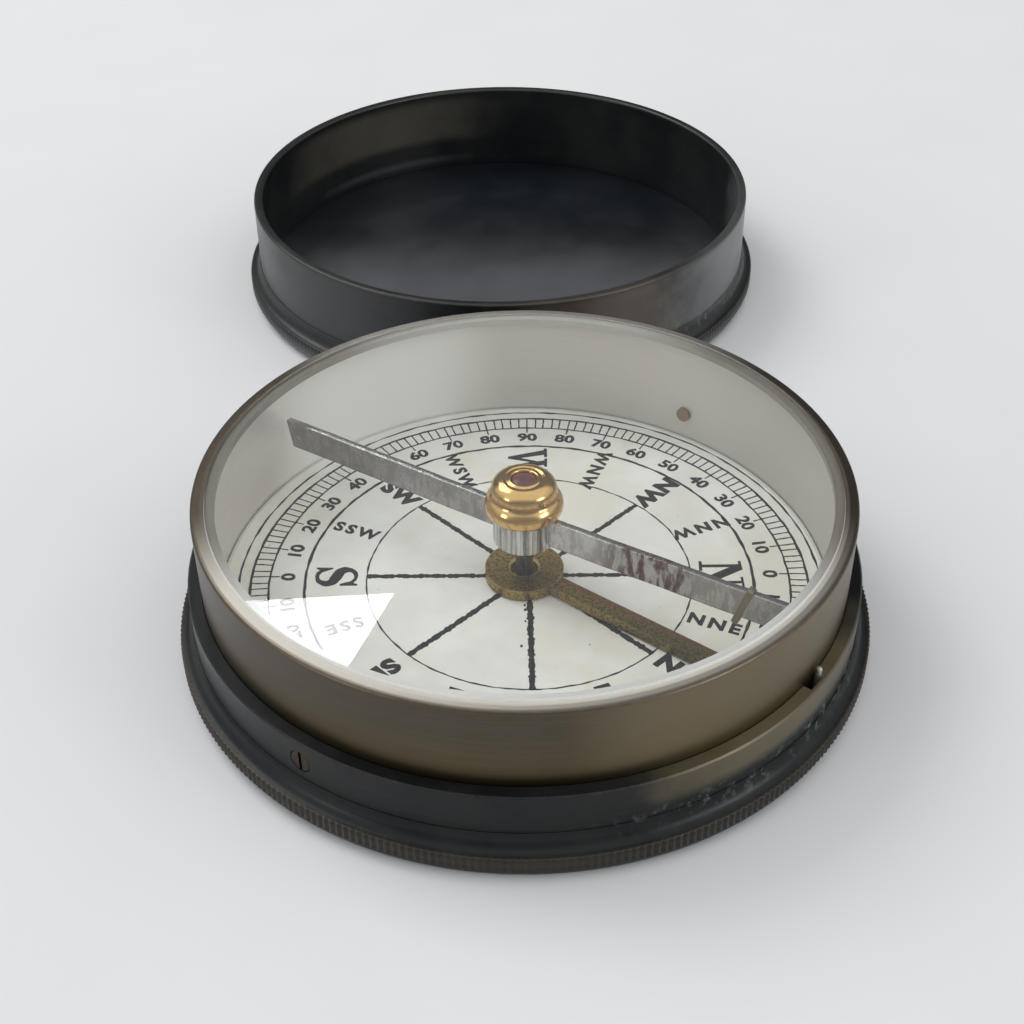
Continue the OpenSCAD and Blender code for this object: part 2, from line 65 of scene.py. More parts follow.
def shade(tree, kind, *values, out=0, **named):
    """Adds a shader node and gives back its output. Plain values go to its inputs in order, named
    ones to the setting or the input of that name."""
    step = tree.nodes.new("ShaderNode" + kind)
    for name in [name for name in named if name in step.bl_rna.properties]:
        setattr(step, name, named.pop(name))
    supply(tree, step, *values, **named)
    return step.outputs[out]


def calc(tree, operation, a, b=0.0, c=0.0, clamp=False):
    """One step of arithmetic on shader values."""
    return shade(tree, "Math", a, b, c, operation=operation, use_clamp=clamp)


def times(tree, product, *factors):
    """Shader values multiplied together."""
    for factor in factors:
        product = calc(tree, "MULTIPLY", product, factor)
    return product


def tint(tree, share, a, b):
    """The colour a turned into b by the share given; colours are the node's inputs 6 and 7."""
    return shade(tree, "Mix", share, *[None] * 5, a, b, out=2, data_type="RGBA")


def between(tree, value, low, high, a=0.0, b=1.0):
    """Runs smoothly from a to b while the value goes from low to high."""
    return shade(tree, "MapRange", value, low, high, a, b, interpolation_type="SMOOTHSTEP")


def noise(tree, point, scale, detail, roughness=0.5):
    """Cloudy noise at a point, of the number of waves in a unit given as the scale; a scale for
    each axis draws it out."""
    if isinstance(scale, tuple):
        point, scale = shade(tree, "VectorMath", point, scale, operation="MULTIPLY"), 1.0
    return shade(tree, "TexNoise", point, Scale=scale, Detail=detail, Roughness=roughness)


def bump(tree, strength, height, depth=0.01 * mm):
    """Makes a surface look uneven by the height, of which 1 stands for the depth given."""
    return shade(tree, "Bump", strength, depth, Height=height)


def new_material(name, metallic=0.0):
    """A material with one Principled shader; gives back the material, its tree and that shader."""
    material = bpy.data.materials.new(name)
    material.use_nodes = True
    shader = material.node_tree.nodes["Principled BSDF"]
    shader.inputs["Metallic"].default_value = metallic
    return material, material.node_tree, shader


def placed(name, data):
    """A new object in the scene, made of the data given."""
    thing = bpy.data.objects.new(name, data)
    bpy.context.scene.collection.objects.link(thing)
    return thing


def sheet_mesh(name, corners):
    """A flat four-cornered piece through the corners given, in millimetres."""
    mesh = bpy.data.meshes.new(name)
    mesh.from_pydata([Vector(c) * mm for c in corners], [], [(0, 1, 2, 3)])
    return placed(name, mesh)


table_half = 3000.0
table = sheet_mesh("table", [(x * table_half, y * table_half, 0)
                             for x, y in ((-1, -1), (1, -1), (1, 1), (-1, 1))])
table_white, tree, shader = new_material("pale_table")
grain = noise(tree, shade(tree, "TexCoord", out=3), 60.0, 3.0)
supply(tree, shader, Roughness=0.9, Specular_IOR_Level=0.2,
       Base_Color=tint(tree, grain, (0.775, 0.78, 0.785), (0.815, 0.82, 0.825)))
table.data.materials.append(table_white)

world = bpy.data.worlds.new("light_tent")
bpy.context.scene.world = world
world.use_nodes = True
tree = world.node_tree
path = tree.nodes.new("ShaderNodeLightPath")
seen = calc(tree, "MAXIMUM", path.outputs["Is Camera Ray"], path.outputs["Is Transmission Ray"])
heading = tree.nodes.new("ShaderNodeSeparateXYZ")
tree.links.new(shade(tree, "TexCoord", out=0), heading.inputs[0])
right, back, up = heading.outputs
dome = tint(tree, between(tree, up, 0.0, 0.75), (0.52, 0.525, 0.54), (0.92, 0.93, 0.945))
unlit = times(tree, between(tree, back, 0.36, 0.62), between(tree, up, 0.93, 0.80))
dome = tint(tree, times(tree, unlit, 0.88), dome, (0.05, 0.052, 0.055))
dome = tint(tree, between(tree, back, -0.55, -0.88, 0.0, 0.75), dome, (0.10, 0.10, 0.105))
supply(tree, tree.nodes["Background"], Color=tint(tree, seen, dome, (0.80, 0.805, 0.815)),
       Strength=1.04)


def lamp(name, place, width, height, power):
    """A soft lamp: a lit panel, its place and sides in millimetres, that faces the compass."""
    light = bpy.data.lights.new(name, "AREA")
    light.shape, light.size, light.size_y = "RECTANGLE", width * mm, height * mm
    light.energy = power
    panel = placed(name, light)
    panel.location = Vector(place) * mm
    panel.rotation_euler = (-Vector(place)).to_track_quat("-Z", "Y").to_euler()


lamp("back_left_lamp", (-420, 330, 620), 420, 420, 1.9)
lamp("left_front_lamp", (-420, -260, 150), 130, 150, 0.22)
lamp("right_front_lamp", (430, -250, 210), 150, 170, 0.20)

window = sheet_mesh("window", [(-59.4, 440.3, 403.4), (-94.8, 392.0, 438.0),
                               (-178.0, 382.0, 435.0), (-143.0, 430.0, 400.0)])
side_window = sheet_mesh("side_window", [(355, -311, 125), (445, -155, 125),
                                         (445, -155, 265), (355, -311, 265)])
window_light, tree, shader = new_material("window_light")
supply(tree, shader, Base_Color=(0, 0, 0), Emission_Color=(0.97, 0.99, 1.0),
       Emission_Strength=7.0)
for pane in (window, side_window):
    pane.visible_camera = pane.visible_diffuse = pane.visible_shadow = False
    pane.data.materials.append(window_light)


def turn_pair(a, b, angle):
    """Two directions at right angles, turned together in their plane, a towards b."""
    return np.cos(angle) * a + np.sin(angle) * b, -np.sin(angle) * a + np.cos(angle) * b


# The camera stands where the photograph was taken from, with a normal lens
lens_px, frame_px, sensor = 1531.89, 1024, 36.0
height_angle, distance = np.radians(41.45), 120.175 * mm
roll, swing, nod = np.radians(-0.2596), -0.0082, 0.0655
eye = distance * np.array([0, -np.cos(height_angle), np.sin(height_angle)])
ahead, side = -eye / distance, np.array([1.0, 0, 0])
top = np.cross(side, ahead)
side, top = turn_pair(side, top, roll)
side, ahead = turn_pair(side, ahead, -swing)
top, ahead = turn_pair(top, ahead, -nod)
camera_data = bpy.data.cameras.new("camera")
camera_data.sensor_width, camera_data.lens = sensor, sensor * lens_px / frame_px
camera_data.clip_start, camera_data.clip_end = 0.005, 20.0
camera = placed("camera", camera_data)
camera.matrix_world = Matrix([(*row, place) for row, place in
                              zip(np.stack([side, top, -ahead], 1), eye)] + [(0, 0, 0, 1)])
bpy.context.scene.camera = camera
bpy.context.scene.view_settings.view_transform = "Standard"


# The dark case: two spun plates of brass with a milled edge, each holding a wall ring, all oxidised
# slate black. The milled edge is worn brown, the sharp edges too, and the joint has green specks.

def group(name, inputs, outputs):
    """A new shader group with the named inputs (name: default) and outputs; gives back its tree,
    its input sockets by name and a function that fills an output."""
    tree = bpy.data.node_groups.new(name, "ShaderNodeTree")
    for label, default in inputs.items():
        kind = "NodeSocketVector" if isinstance(default, tuple) else "NodeSocketFloat"
        tree.interface.new_socket(label, in_out="INPUT", socket_type=kind).default_value = default
    for label, kind in outputs.items():
        tree.interface.new_socket(label, in_out="OUTPUT", socket_type="NodeSocket" + kind)
    given = tree.nodes.new("NodeGroupInput").outputs
    result = tree.nodes.new("NodeGroupOutput").inputs
    return tree, given, lambda label, value: tree.links.new(value, result[label])


def facing(tree, vector, way):
    """How far a vector points the way given: their dot product."""
    return shade(tree, "VectorMath", vector, way, operation="DOT_PRODUCT", out=1)


def use(tree, made, **values):
    """Places a shader group with its own values and gives back its outputs."""
    step = tree.nodes.new("ShaderNodeGroup")
    step.node_tree = made
    supply(tree, step, **values)
    return step.outputs


# Where a point lies on a turned piece: millimetres from the axis and above the table
turned_place, given, give = group("turned_place", {"Axis": (0.0, 0.0, 0.0)},
                                  {"Point": "Vector", "Radius": "Float", "Height": "Float",
                                   "Round": "Vector"})
point = shade(turned_place, "VectorMath", shade(turned_place, "TexCoord", out=3), None, None,
              1 / mm, operation="SCALE")
point = shade(turned_place, "VectorMath", point, given["Axis"], operation="SUBTRACT")
flat = shade(turned_place, "VectorMath", point, (1, 1, 0), operation="MULTIPLY")
give("Point", point)
give("Radius", shade(turned_place, "VectorMath", flat, operation="LENGTH", out=1))
give("Height", shade(turned_place, "SeparateXYZ", point, out=2))
give("Round", shade(turned_place, "VectorMath", flat, operation="NORMALIZE"))

# Fine rings left by the lathe: noise that changes fast along the profile and slowly round it
turned_lines, given, give = group("turned_lines", {"Round": (0.0, 0.0, 0.0), "Along": 0.0,
                                                   "Fineness": 14.0, "Sweep": 1.5},
                                  {"Lines": "Float"})
around = shade(turned_lines, "VectorMath", given["Round"], None, None, given["Sweep"],
               operation="SCALE")
along = shade(turned_lines, "CombineXYZ", 0.0, 0.0,
              times(turned_lines, given["Along"], given["Fineness"]))
give("Lines", noise(turned_lines, shade(turned_lines, "VectorMath", around, along,
                                        operation="ADD"), 1.0, 4.0, 0.65))

# A worn line along a turned edge that lies at one radius and height, ragged by noise
edge_line, given, give = group("edge_line", {"Radius": 0.0, "Height": 0.0, "At radius": 25.0,
                                             "At height": 6.8, "Width": 0.25, "Ragged": 0.5,
                                             "Noise": 0.5}, {"Worn": "Float"})
off_r = calc(edge_line, "SUBTRACT", given["Radius"], given["At radius"])
off_z = calc(edge_line, "SUBTRACT", given["Height"], given["At height"])
off = calc(edge_line, "SQRT", calc(edge_line, "ADD", calc(edge_line, "POWER", off_r, 2.0),
                                   calc(edge_line, "POWER", off_z, 2.0)))
reach = times(edge_line, given["Width"],
              calc(edge_line, "MULTIPLY_ADD", calc(edge_line, "SUBTRACT", given["Noise"], 0.5),
                   times(edge_line, given["Ragged"], 4.0), 1.0))
give("Worn", calc(edge_line, "SUBTRACT", 1.0,
                  calc(edge_line, "DIVIDE", off, calc(edge_line, "MAXIMUM", reach, 0.01)),
                  clamp=True))


def turned_material(name, metallic=0.0, axis=(0.0, 0.0, 0.0)):
    """A new material, and where each of its points lies round the axis given."""
    material, tree, shader = new_material(name, metallic)
    return material, tree, shader, use(tree, turned_place, Axis=axis)


def lathe_lines(tree, place, along, fineness, sweep=1.5):
    """Fine rings on a turned piece, of which along says how far along its profile a point lies."""
    return use(tree, turned_lines, Round=place["Round"], Along=along, Fineness=fineness,
               Sweep=sweep)["Lines"]


def worn_edge(tree, place, edge_r, edge_z, width, wear, ragged=0.5):
    """How worn a point is by the edge of that radius and height, with wear's noise."""
    return use(tree, edge_line, Radius=place["Radius"], Height=place["Height"], At_radius=edge_r,
               At_height=edge_z, Width=width, Ragged=ragged, Noise=wear)["Worn"]


def dark_case(name, axis, edges, green_side, gloss, painted_light_patches):
    """Oxidised brass for a plate or ring on the axis given; edges are (radius, height, width,
    strength) of the worn lines, green_side the direction in which verdigris gathers. Patches are
    painted light and shade, (direction, share of it where the patch ends and is full, heights,
    colour), lighter or darker sides that fade towards the axis, and gloss is the specular level of
    the black."""
    fade_r, joint_z, joint_spread = 18, 3.5, 1.2
    material, tree, shader, place = turned_material(name, 0.0, axis)
    point, radius, height = place["Point"], place["Radius"], place["Height"]
    cloud = noise(tree, point, 0.16, 5.0, 0.6)
    speck = noise(tree, point, 1.9, 6.0, 0.7)
    lines = lathe_lines(tree, place, calc(tree, "ADD", radius, height), 5.0, 2.5)
    colour = tint(tree, between(tree, cloud, 0.35, 0.65), (0.008, 0.0105, 0.0115),
                  (0.017, 0.0195, 0.0195))
    colour = tint(tree, between(tree, lines, 0.45, 0.75, 0.0, 0.4), colour, (0.030, 0.032, 0.031))
    colour = tint(tree, between(tree, speck, 0.62, 0.76, 0.0, 0.5), colour, (0.060, 0.042, 0.026))
    worn = 0.0
    for edge_r, edge_z, width, strength in edges:
        line = worn_edge(tree, place, edge_r, edge_z, width, speck)
        worn = calc(tree, "MAXIMUM", worn, times(tree, line, strength))
    brown = tint(tree, cloud, (0.13, 0.085, 0.045), (0.21, 0.155, 0.09))
    colour = tint(tree, worn, colour, brown)
    # Painted light and shade: each patch lightens or darkens one side of the piece, fading towards
    # the axis
    for way, ends, full, heights, patch in painted_light_patches:
        faced = times(tree, calc(tree, "MULTIPLY", radius, 1 / fade_r, clamp=True),
                      facing(tree, place["Round"], way))
        ragged = calc(tree, "MULTIPLY_ADD", cloud, 0.16, calc(tree, "SUBTRACT", faced, 0.08))
        here = times(tree, between(tree, ragged, ends, full),
                     between(tree, height, heights[0] - 0.6, heights[0] + 0.6),
                     between(tree, height, heights[1] + 0.6, heights[1] - 0.6))
        colour = tint(tree, times(tree, here, 0.8), colour, patch)
    side = facing(tree, place["Round"], green_side)
    off_joint = calc(tree, "ABSOLUTE", calc(tree, "SUBTRACT", height, joint_z))
    joint = calc(tree, "SUBTRACT", 1.0, calc(tree, "DIVIDE", off_joint, joint_spread), clamp=True)
    blot = noise(tree, point, 1.1, 5.0, 0.75)
    green = times(tree, joint, between(tree, side, 0.55, 0.98), between(tree, blot, 0.52, 0.66))
    colour = tint(tree, green, colour, (0.20, 0.27, 0.22))
    rough = calc(tree, "ADD", between(tree, cloud, 0.3, 0.7, 0.30, 0.42), times(tree, green, 0.4))
    relief = calc(tree, "ADD", times(tree, lines, 0.5), times(tree, speck, 0.6))
    supply(tree, shader, Base_Color=colour, Roughness=rough, Normal=bump(tree, 0.35, relief),
           Metallic=calc(tree, "MULTIPLY_ADD", worn, 0.6, 0.25), Specular_IOR_Level=gloss)
    return material


# The last list of each is painted light and shade: the base ring lighter at the front right; the
# lid's sides lighter or darker by direction, its floor lighter in front and darker behind
base_dark = dark_case("base_oxidised_brass", (0.0, 0.0, 0.0),
                      [(25.15, 6.7, 0.13, 0.32), (26.25, 2.1, 0.2, 0.3), (26.25, 1.5, 0.75, 0.2)],
                      (0.87, -0.49, 0.0), 0.26,
                      [((0.72, -0.70, 0.0), 0.86, 0.99, (4.6, 7.6), (0.175, 0.145, 0.088))])
lid_axis = (-2.3, 55.4, 0.0)
lid_dark = dark_case("lid_oxidised_brass", lid_axis,
                     [(25.15, 10.05, 0.2, 0.3), (24.25, 10.05, 0.2, 0.25), (26.25, 2.1, 0.2, 0.15)],
                     (0.8, -0.6, 0.0), 0.5,
                     [((0.36, -0.93, 0.0), 0.90, 0.99, (3.4, 9.9), (0.130, 0.102, 0.076)),
                      ((-0.75, -0.66, 0.0), 0.80, 1.0, (3.4, 9.9), (0.048, 0.051, 0.053)),
                      ((0.93, -0.37, 0.0), 0.84, 1.0, (3.4, 9.9), (0.20, 0.204, 0.206)),
                      ((-0.60, 0.80, 0.0), 0.80, 1.02, (4.4, 9.2), (0.115, 0.106, 0.080)),
                      ((-0.55, 0.83, 0.0), 0.88, 1.0, (1.9, 2.1), (0.16, 0.165, 0.175)),
                      ((0.0, -1.0, 0.0), -0.40, 0.40, (0.2, 1.5), (0.125, 0.133, 0.143)),
                      ((0.0, 1.0, 0.0), 0.0, 0.7, (0.2, 1.5), (0.004, 0.007, 0.012))])


def woven(rows, columns, row_loop, column_loop):
    """The four-cornered faces between neighbours in a grid of points kept row by row; a looped
    direction also joins its last line to its first."""
    i = np.arange(rows if row_loop else rows - 1)[:, None]
    j = np.arange(columns if column_loop else columns - 1)[None]
    below, beside = (i + 1) % rows, (j + 1) % columns
    corners = i * columns + j, i * columns + beside, below * columns + beside, below * columns + j
    return np.stack(np.broadcast_arrays(*corners), -1).reshape(-1, 4)


def made_piece(name, points, faces, materials, body, node, sharp=40.0):
    """A smooth-shaded piece from points in millimetres that stands for a CAD node: edges turned by
    more than the angle given stay sharp, and wide faces rule the shading of narrow ones."""
    mesh = bpy.data.meshes.new(name)
    mesh.from_pydata((points * mm).tolist(), [], faces)
    for material in materials:
        mesh.materials.append(material)
    mesh.shade_smooth()
    mesh.set_sharp_from_angle(angle=np.radians(sharp))
    piece = placed(name, mesh)
    weighted = piece.modifiers.new("weighted", "WEIGHTED_NORMAL")
    weighted.keep_sharp = True
    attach(piece, body)
    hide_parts(node)
    return piece


def eased(corners, cut):
    """A profile with its corners eased: each gives way to the curve that leaves it at the distance
    cut, (1-t)^2 a + 2t(1-t) corner + t^2 b. The first and last stay; a cut may be given to each."""
    corners = np.array(corners, float)
    cut = np.array(np.broadcast_to(cut, len(corners)), float)
    cut[0] = cut[-1] = 0
    before, after = np.roll(corners, 1, 0) - corners, np.roll(corners, -1, 0) - corners
    reach = [np.maximum(np.linalg.norm(side, axis=1), 1e-9)[:, None] for side in (before, after)]
    a, b = (corners + side / far * cut[:, None] for side, far in zip((before, after), reach))
    t = np.linspace(0, 1, 5)[None, :, None]
    line = (1 - t) ** 2 * a[:, None] + 2 * t * (1 - t) * corners[:, None] + t ** 2 * b[:, None]
    line = line.reshape(-1, 2)
    return line[np.append(True, np.linalg.norm(np.diff(line, axis=0), axis=1) > 1e-6)]


def turned(profile, steps, axis=(0.0, 0.0, 0.0), flutes=None):
    """The points and faces of a turned piece: each profile point (r, z) goes round the axis as
    (r cos a, r sin a, z). A profile that starts and ends on the axis is closed there by fans, any
    other is a closed loop. Flutes (count, radius, step, depth) cut waves into what lies further
    out than the radius: r falls by depth (1 - cos(count a)) / 2."""
    profile = np.array(profile, float)
    solid = profile[0, 0] == 0 and profile[-1, 0] == 0
    rows = profile[1:-1] if solid else profile
    a = np.arange(steps) * 2 * np.pi / steps
    r = np.repeat(rows[:, :1], steps, 1)
    if flutes:
        count, start_r, step, depth = flutes
        r = r - depth * np.clip((r - start_r) / step, 0, 1) * (1 - np.cos(count * a)) / 2
    grid = np.stack([r * np.cos(a), r * np.sin(a), np.repeat(rows[:, 1:], steps, 1)], -1)
    points = grid.reshape(-1, 3)
    faces = woven(len(rows), steps, not solid, True).tolist()
    if solid:
        n, here = len(points), np.arange(steps)
        there = (here + 1) % steps
        low = np.stack([np.full(steps, n), there, here], 1)
        high = np.stack([np.full(steps, n + 1), here + n - steps, there + n - steps], 1)
        faces += low.tolist() + high.tolist()
        points = np.concatenate([points, [(0, 0, profile[0, 1]), (0, 0, profile[-1, 1])]])
    return points + axis, faces


# One plate serves for the case and the lid: flat foot, rolled edge, milled band, hollow flare, and
# a socket for the wall ring
bend = np.radians(np.linspace(0, 90, 9))
roll_out = np.stack([25.30 + 0.84 * np.sin(bend), 0.90 * (1 - np.cos(bend))], 1)
flare_in = np.stack([26.14 - 0.94 * np.sin(bend), 2.10 + 1.20 * (1 - np.cos(bend))], 1)
band = eased([(26.14, 0.90), (26.30, 0.92), (26.30, 2.08), (26.14, 2.10)], (0, 0.06, 0.06, 0))
plate_line = np.concatenate([[(0, 0), (25.2, 0)], roll_out, band[1:-1], flare_in,
                             eased([(25.20, 3.30), (25.20, 3.43), (25.16, 3.43), (25.03, 3.285),
                                    (24.77, 3.285), (24.77, 1.0), (24.0, 1.0)], 0.01)[1:],
                             [(0, 1.0)]])
for name, node, axis, finish_used, body in (
        ("base_milled_plate", "base_plate", (0.0, 0.0, 0.0), base_dark, "case"),
        ("lid_milled_plate", "lid_plate", lid_axis, lid_dark, "lid")):
    points, faces = turned(plate_line, 1280, axis, (320, 26.15, 0.12, 0.10))
    made_piece(name, points, faces, [finish_used], body, node)

# The lid's wall ring: a spigot in the plate's socket, a step on the plate, and an eased mouth
lid_wall = eased([(24.25, 5.0), (24.25, 1.0), (24.75, 1.0), (24.75, 3.30), (25.15, 3.30),
                  (25.15, 10.05), (24.25, 10.05), (24.25, 5.0)],
                 (0, 0.05, 0.03, 0.03, 0.12, 0.25, 0.3, 0))[:-1]
points, faces = turned(lid_wall, 256, lid_axis)
made_piece("lid_wall", points, faces, [lid_dark], "lid", "lid_ring")


def give_finish(material, *names):
    """Gives CAD pieces their finish in place of the plain one."""
    for name in names:
        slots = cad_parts[name].data.materials
        slots.clear()
        slots.append(material)


give_finish(base_dark, "base_ring")

# The brass box: a drawn cup, satin brown brass outside and silvered inside, its rim turned in over
# the glass. The rim is tarnished dark, with a painted pale reflection in front and at the back and
# a painted highlight, a brown line, along its outer edge.
box_metal, tree, shader, place = turned_material("box_brass_and_silvering")
radius, height = place["Radius"], place["Height"]
cloud = noise(tree, place["Point"], 0.14, 4.0, 0.6)
speck = noise(tree, place["Point"], 2.4, 6.0, 0.7)
rings = lathe_lines(tree, place, height, 9.0)
silver = tint(tree, rings, (0.66, 0.63, 0.58), (0.78, 0.75, 0.70))
# A painted highlight: the silvering pales to near white on the back left wall, where it is also
# less metallic
painted_highlight = between(tree, facing(tree, place["Round"], (-0.56, 0.83, 0.0)), 0.86, 0.995)
silver = tint(tree, painted_highlight, silver, (1.0, 0.99, 0.96))
# Painted shade: the silvering darker on the right side
shaded_side = shade(tree, "SeparateXYZ", place["Round"], out=0)
silver = tint(tree, between(tree, shaded_side, 0.55, 0.95, 0.0, 0.4), silver, (0.40, 0.38, 0.34))
silver = tint(tree, between(tree, speck, 0.64, 0.76, 0.0, 0.25), silver, (0.45, 0.38, 0.29))
brass = tint(tree, between(tree, height, 6.8, 12.0), (0.112, 0.086, 0.044),
             (0.095, 0.082, 0.064))
brass = tint(tree, between(tree, cloud, 0.35, 0.7, 0.0, 0.45), brass, (0.075, 0.060, 0.040))
brass = tint(tree, between(tree, rings, 0.4, 0.7, 0.0, 0.25), brass, (0.15, 0.125, 0.085))
# A painted lighter side: the brass outside paler and yellower at the front right
painted_lit_side = facing(tree, place["Round"], (0.64, -0.77, 0.0))
brass = tint(tree, between(tree, painted_lit_side, 0.80, 0.99, 0.0, 0.6), brass, (0.26, 0.21, 0.125))
inside_r, outside_r = 23.4, 23.5
colour = tint(tree, between(tree, radius, inside_r, outside_r), silver, brass)
rim = times(tree, between(tree, height, 12.90, 13.10), between(tree, radius, 23.05, 23.12))
front = shade(tree, "SeparateXYZ", place["Round"], out=1)
# A painted reflection: the rim's top pale in front and at the back
painted_pale_reflection = calc(tree, "MAXIMUM", times(tree, between(tree, front, -0.15, -0.60),
                                     between(tree, radius, 24.02, 23.72)),
              times(tree, between(tree, front, 0.55, 0.92), between(tree, radius, 24.12, 23.95)))
tarnish_and_reflection = tint(tree, speck, (0.075, 0.060, 0.046), (0.150, 0.125, 0.095))
tarnish_and_reflection = tint(tree, times(tree, painted_pale_reflection, 0.9), tarnish_and_reflection, (0.68, 0.64, 0.565))
colour = tint(tree, rim, colour, tarnish_and_reflection)
# A painted highlight: a brown line along the rim's outer edge
bright = worn_edge(tree, place, 24.12, 13.04, 0.05, speck)
colour = tint(tree, times(tree, bright, 0.5), colour, (0.24, 0.17, 0.10))
silvered = between(tree, radius, outside_r, inside_r)
rough = calc(tree, "MULTIPLY_ADD", silvered, 0.08, 0.36)
# The silvering is half dielectric, more so under the painted highlight
dielectric = times(tree, silvered, calc(tree, "MULTIPLY_ADD", painted_highlight, 0.4, 0.5))
supply(tree, shader, Base_Color=colour, Roughness=rough, Normal=bump(tree, 0.12, rings),
       Metallic=calc(tree, "SUBTRACT", 1.0, dielectric))
give_finish(box_metal, "compass_box")

# Two slotted screws, turned from brass and dulled brown, go in through the dark wall ring and
# fasten the box in the case. Their points come through the box's wall and show paler inside.
screw_metal, tree, shader, place = turned_material("dulled_screw_brass", 0.9)
speck = noise(tree, place["Point"], 2.2, 5.0, 0.7)
inner_end = between(tree, place["Radius"], 23.6, 23.4)
colour = tint(tree, between(tree, speck, 0.35, 0.65), (0.032, 0.024, 0.018), (0.085, 0.056, 0.038))
colour = tint(tree, inner_end, colour, tint(tree, speck, (0.22, 0.15, 0.09), (0.40, 0.29, 0.18)))
supply(tree, shader, Base_Color=colour, Roughness=between(tree, speck, 0.3, 0.7, 0.35, 0.5),
       Normal=bump(tree, 0.3, speck))
give_finish(screw_metal, "case_screws")

# The dial: a satin brass plate that fills the box's floor, and on it a white enamelled disc, a
# little mottled and stained yellow. The pivot's bush goes through both.
plate_brass, tree, shader, place = turned_material("satin_plate_brass", 1.0)
rings = lathe_lines(tree, place, place["Radius"], 8.0)
supply(tree, shader, Base_Color=tint(tree, rings, (0.45, 0.32, 0.14), (0.66, 0.50, 0.25)),
       Roughness=between(tree, rings, 0.3, 0.7, 0.22, 0.4),
       Normal=bump(tree, 0.2, rings))
give_finish(plate_brass, "dial_plate", "pivot_bush", "lifter_lugs")

enamel, tree, shader, place = turned_material("white_dial_enamel")
cloud = noise(tree, place["Point"], 0.22, 5.0, 0.55)
stain = noise(tree, place["Point"], 0.09, 6.0, 0.6)
speck = noise(tree, place["Point"], 3.2, 4.0, 0.6)
white = tint(tree, between(tree, cloud, 0.3, 0.7), (0.80, 0.79, 0.735), (0.90, 0.895, 0.85))
white = tint(tree, between(tree, stain, 0.48, 0.66, 0.0, 0.6), white, (0.77, 0.72, 0.605))
white = tint(tree, between(tree, speck, 0.67, 0.74, 0.0, 0.75), white, (0.26, 0.22, 0.17))
# A painted shadow: the enamel darker and bluer at its very edge, by the wall
edge = between(tree, place["Radius"], 22.86, 23.0)
white = tint(tree, times(tree, edge, 0.3), white, (0.20, 0.22, 0.23))
supply(tree, shader, Base_Color=white, Roughness=between(tree, cloud, 0.3, 0.7, 0.38, 0.5),
       Specular_IOR_Level=0.35, Normal=bump(tree, 0.15, cloud))
give_finish(enamel, "dial")

# The dial's marks, printed black by hand: five circles, a line to each of the eight main points,
# ticks every two degrees with a longer one at each ten, numbers from 0 at north and south to 90 at
# east and west, and the letters of the sixteen points.
dial_top, ink_t, dial_turn = 3.45, 0.012, 0.15
number_r, letter_r = 18.62, 14.88
print_shift, print_scale = np.array([0.35, 0.1, 0.0]), np.array([0.994, 0.994, 1.0])
ink_up, ink_down = dial_top + ink_t, dial_top - 0.004
prints = []


def wander(points, size, wave):
    """Moves points by smooth waves of the size and wave length given, as a hand's line wanders:
    each axis gets three sines of both coordinates."""
    x, y = points[..., 0] / wave, points[..., 1] / wave
    move = np.stack([np.sin(2.3 * x + 3.1 * y + 0.7) + np.sin(5.9 * x - 4.3 * y + 2.1)
                     + 0.6 * np.sin(11.0 * x + 9.0 * y),
                     np.sin(3.3 * x - 2.7 * y + 1.9) + np.sin(4.7 * x + 6.1 * y + 0.3)
                     + 0.6 * np.sin(9.0 * x - 12.0 * y + 1.0)], -1)
    return points + size * move


def print_outline(outline):
    """Keeps an outline (in millimetres on the dial) as a flat print with closed sides."""
    n, after = len(outline), np.roll(outline, -1, 0)
    if np.sum(outline[:, 0] * after[:, 1] - after[:, 0] * outline[:, 1]) < 0:
        outline = outline[::-1]
    low, high = np.full((n, 1), ink_down), np.full((n, 1), ink_up)
    ring = np.arange(n)
    faces = [tuple(ring + n), tuple(ring[::-1])]
    faces += [(a, b, b + n, a + n) for a, b in zip(ring, np.roll(ring, -1))]
    prints.append((np.concatenate([np.hstack([outline, low]), np.hstack([outline, high])]), faces))


def leftward(line):
    """The unit vectors at right angles to a line of points, on its left."""
    along = np.gradient(line, axis=0)
    return np.stack([-along[:, 1], along[:, 0]], 1) / np.linalg.norm(along, axis=1)[:, None]


def print_band(middle, width):
    """A closed ribbon of four long faces along the middle line, of the width given at each point;
    its ends meet where the line is a circle."""
    across = leftward(middle)
    left, right = middle + across * width[:, None] / 2, middle - across * width[:, None] / 2
    n = len(middle)
    rows = [np.hstack([edge, np.full((n, 1), z)]) for edge, z in
            ((left, ink_down), (right, ink_down), (right, ink_up), (left, ink_up))]
    i = np.arange(n - 1)
    faces = [(a * n + k, a * n + k + 1, b * n + k + 1, b * n + k)
             for a, b in ((0, 1), (1, 2), (2, 3), (3, 0)) for k in i]
    if not np.allclose(middle[0], middle[-1]):
        faces += [(0, n, 2 * n, 3 * n), (n - 1, 4 * n - 1, 3 * n - 1, 2 * n - 1)]
    prints.append((np.concatenate(rows), faces))


def dial_way(bearing, off=0.0):
    """The direction on the dial at a bearing in degrees, clockwise from north, less off degrees."""
    turn = np.radians(dial_turn - bearing + off)
    return np.array([np.cos(turn), np.sin(turn)])


def uneven(n, base, share, seed):
    """Widths that vary smoothly by the share given along n points: three sines of 23, 41 and 67
    waves are added."""
    s = np.linspace(0, 2 * np.pi, n)
    return base * (1 + share * (np.sin(23 * s + seed) + np.sin(41 * s + 2 * seed)
                                + np.sin(67 * s + 3 * seed)) / 2)


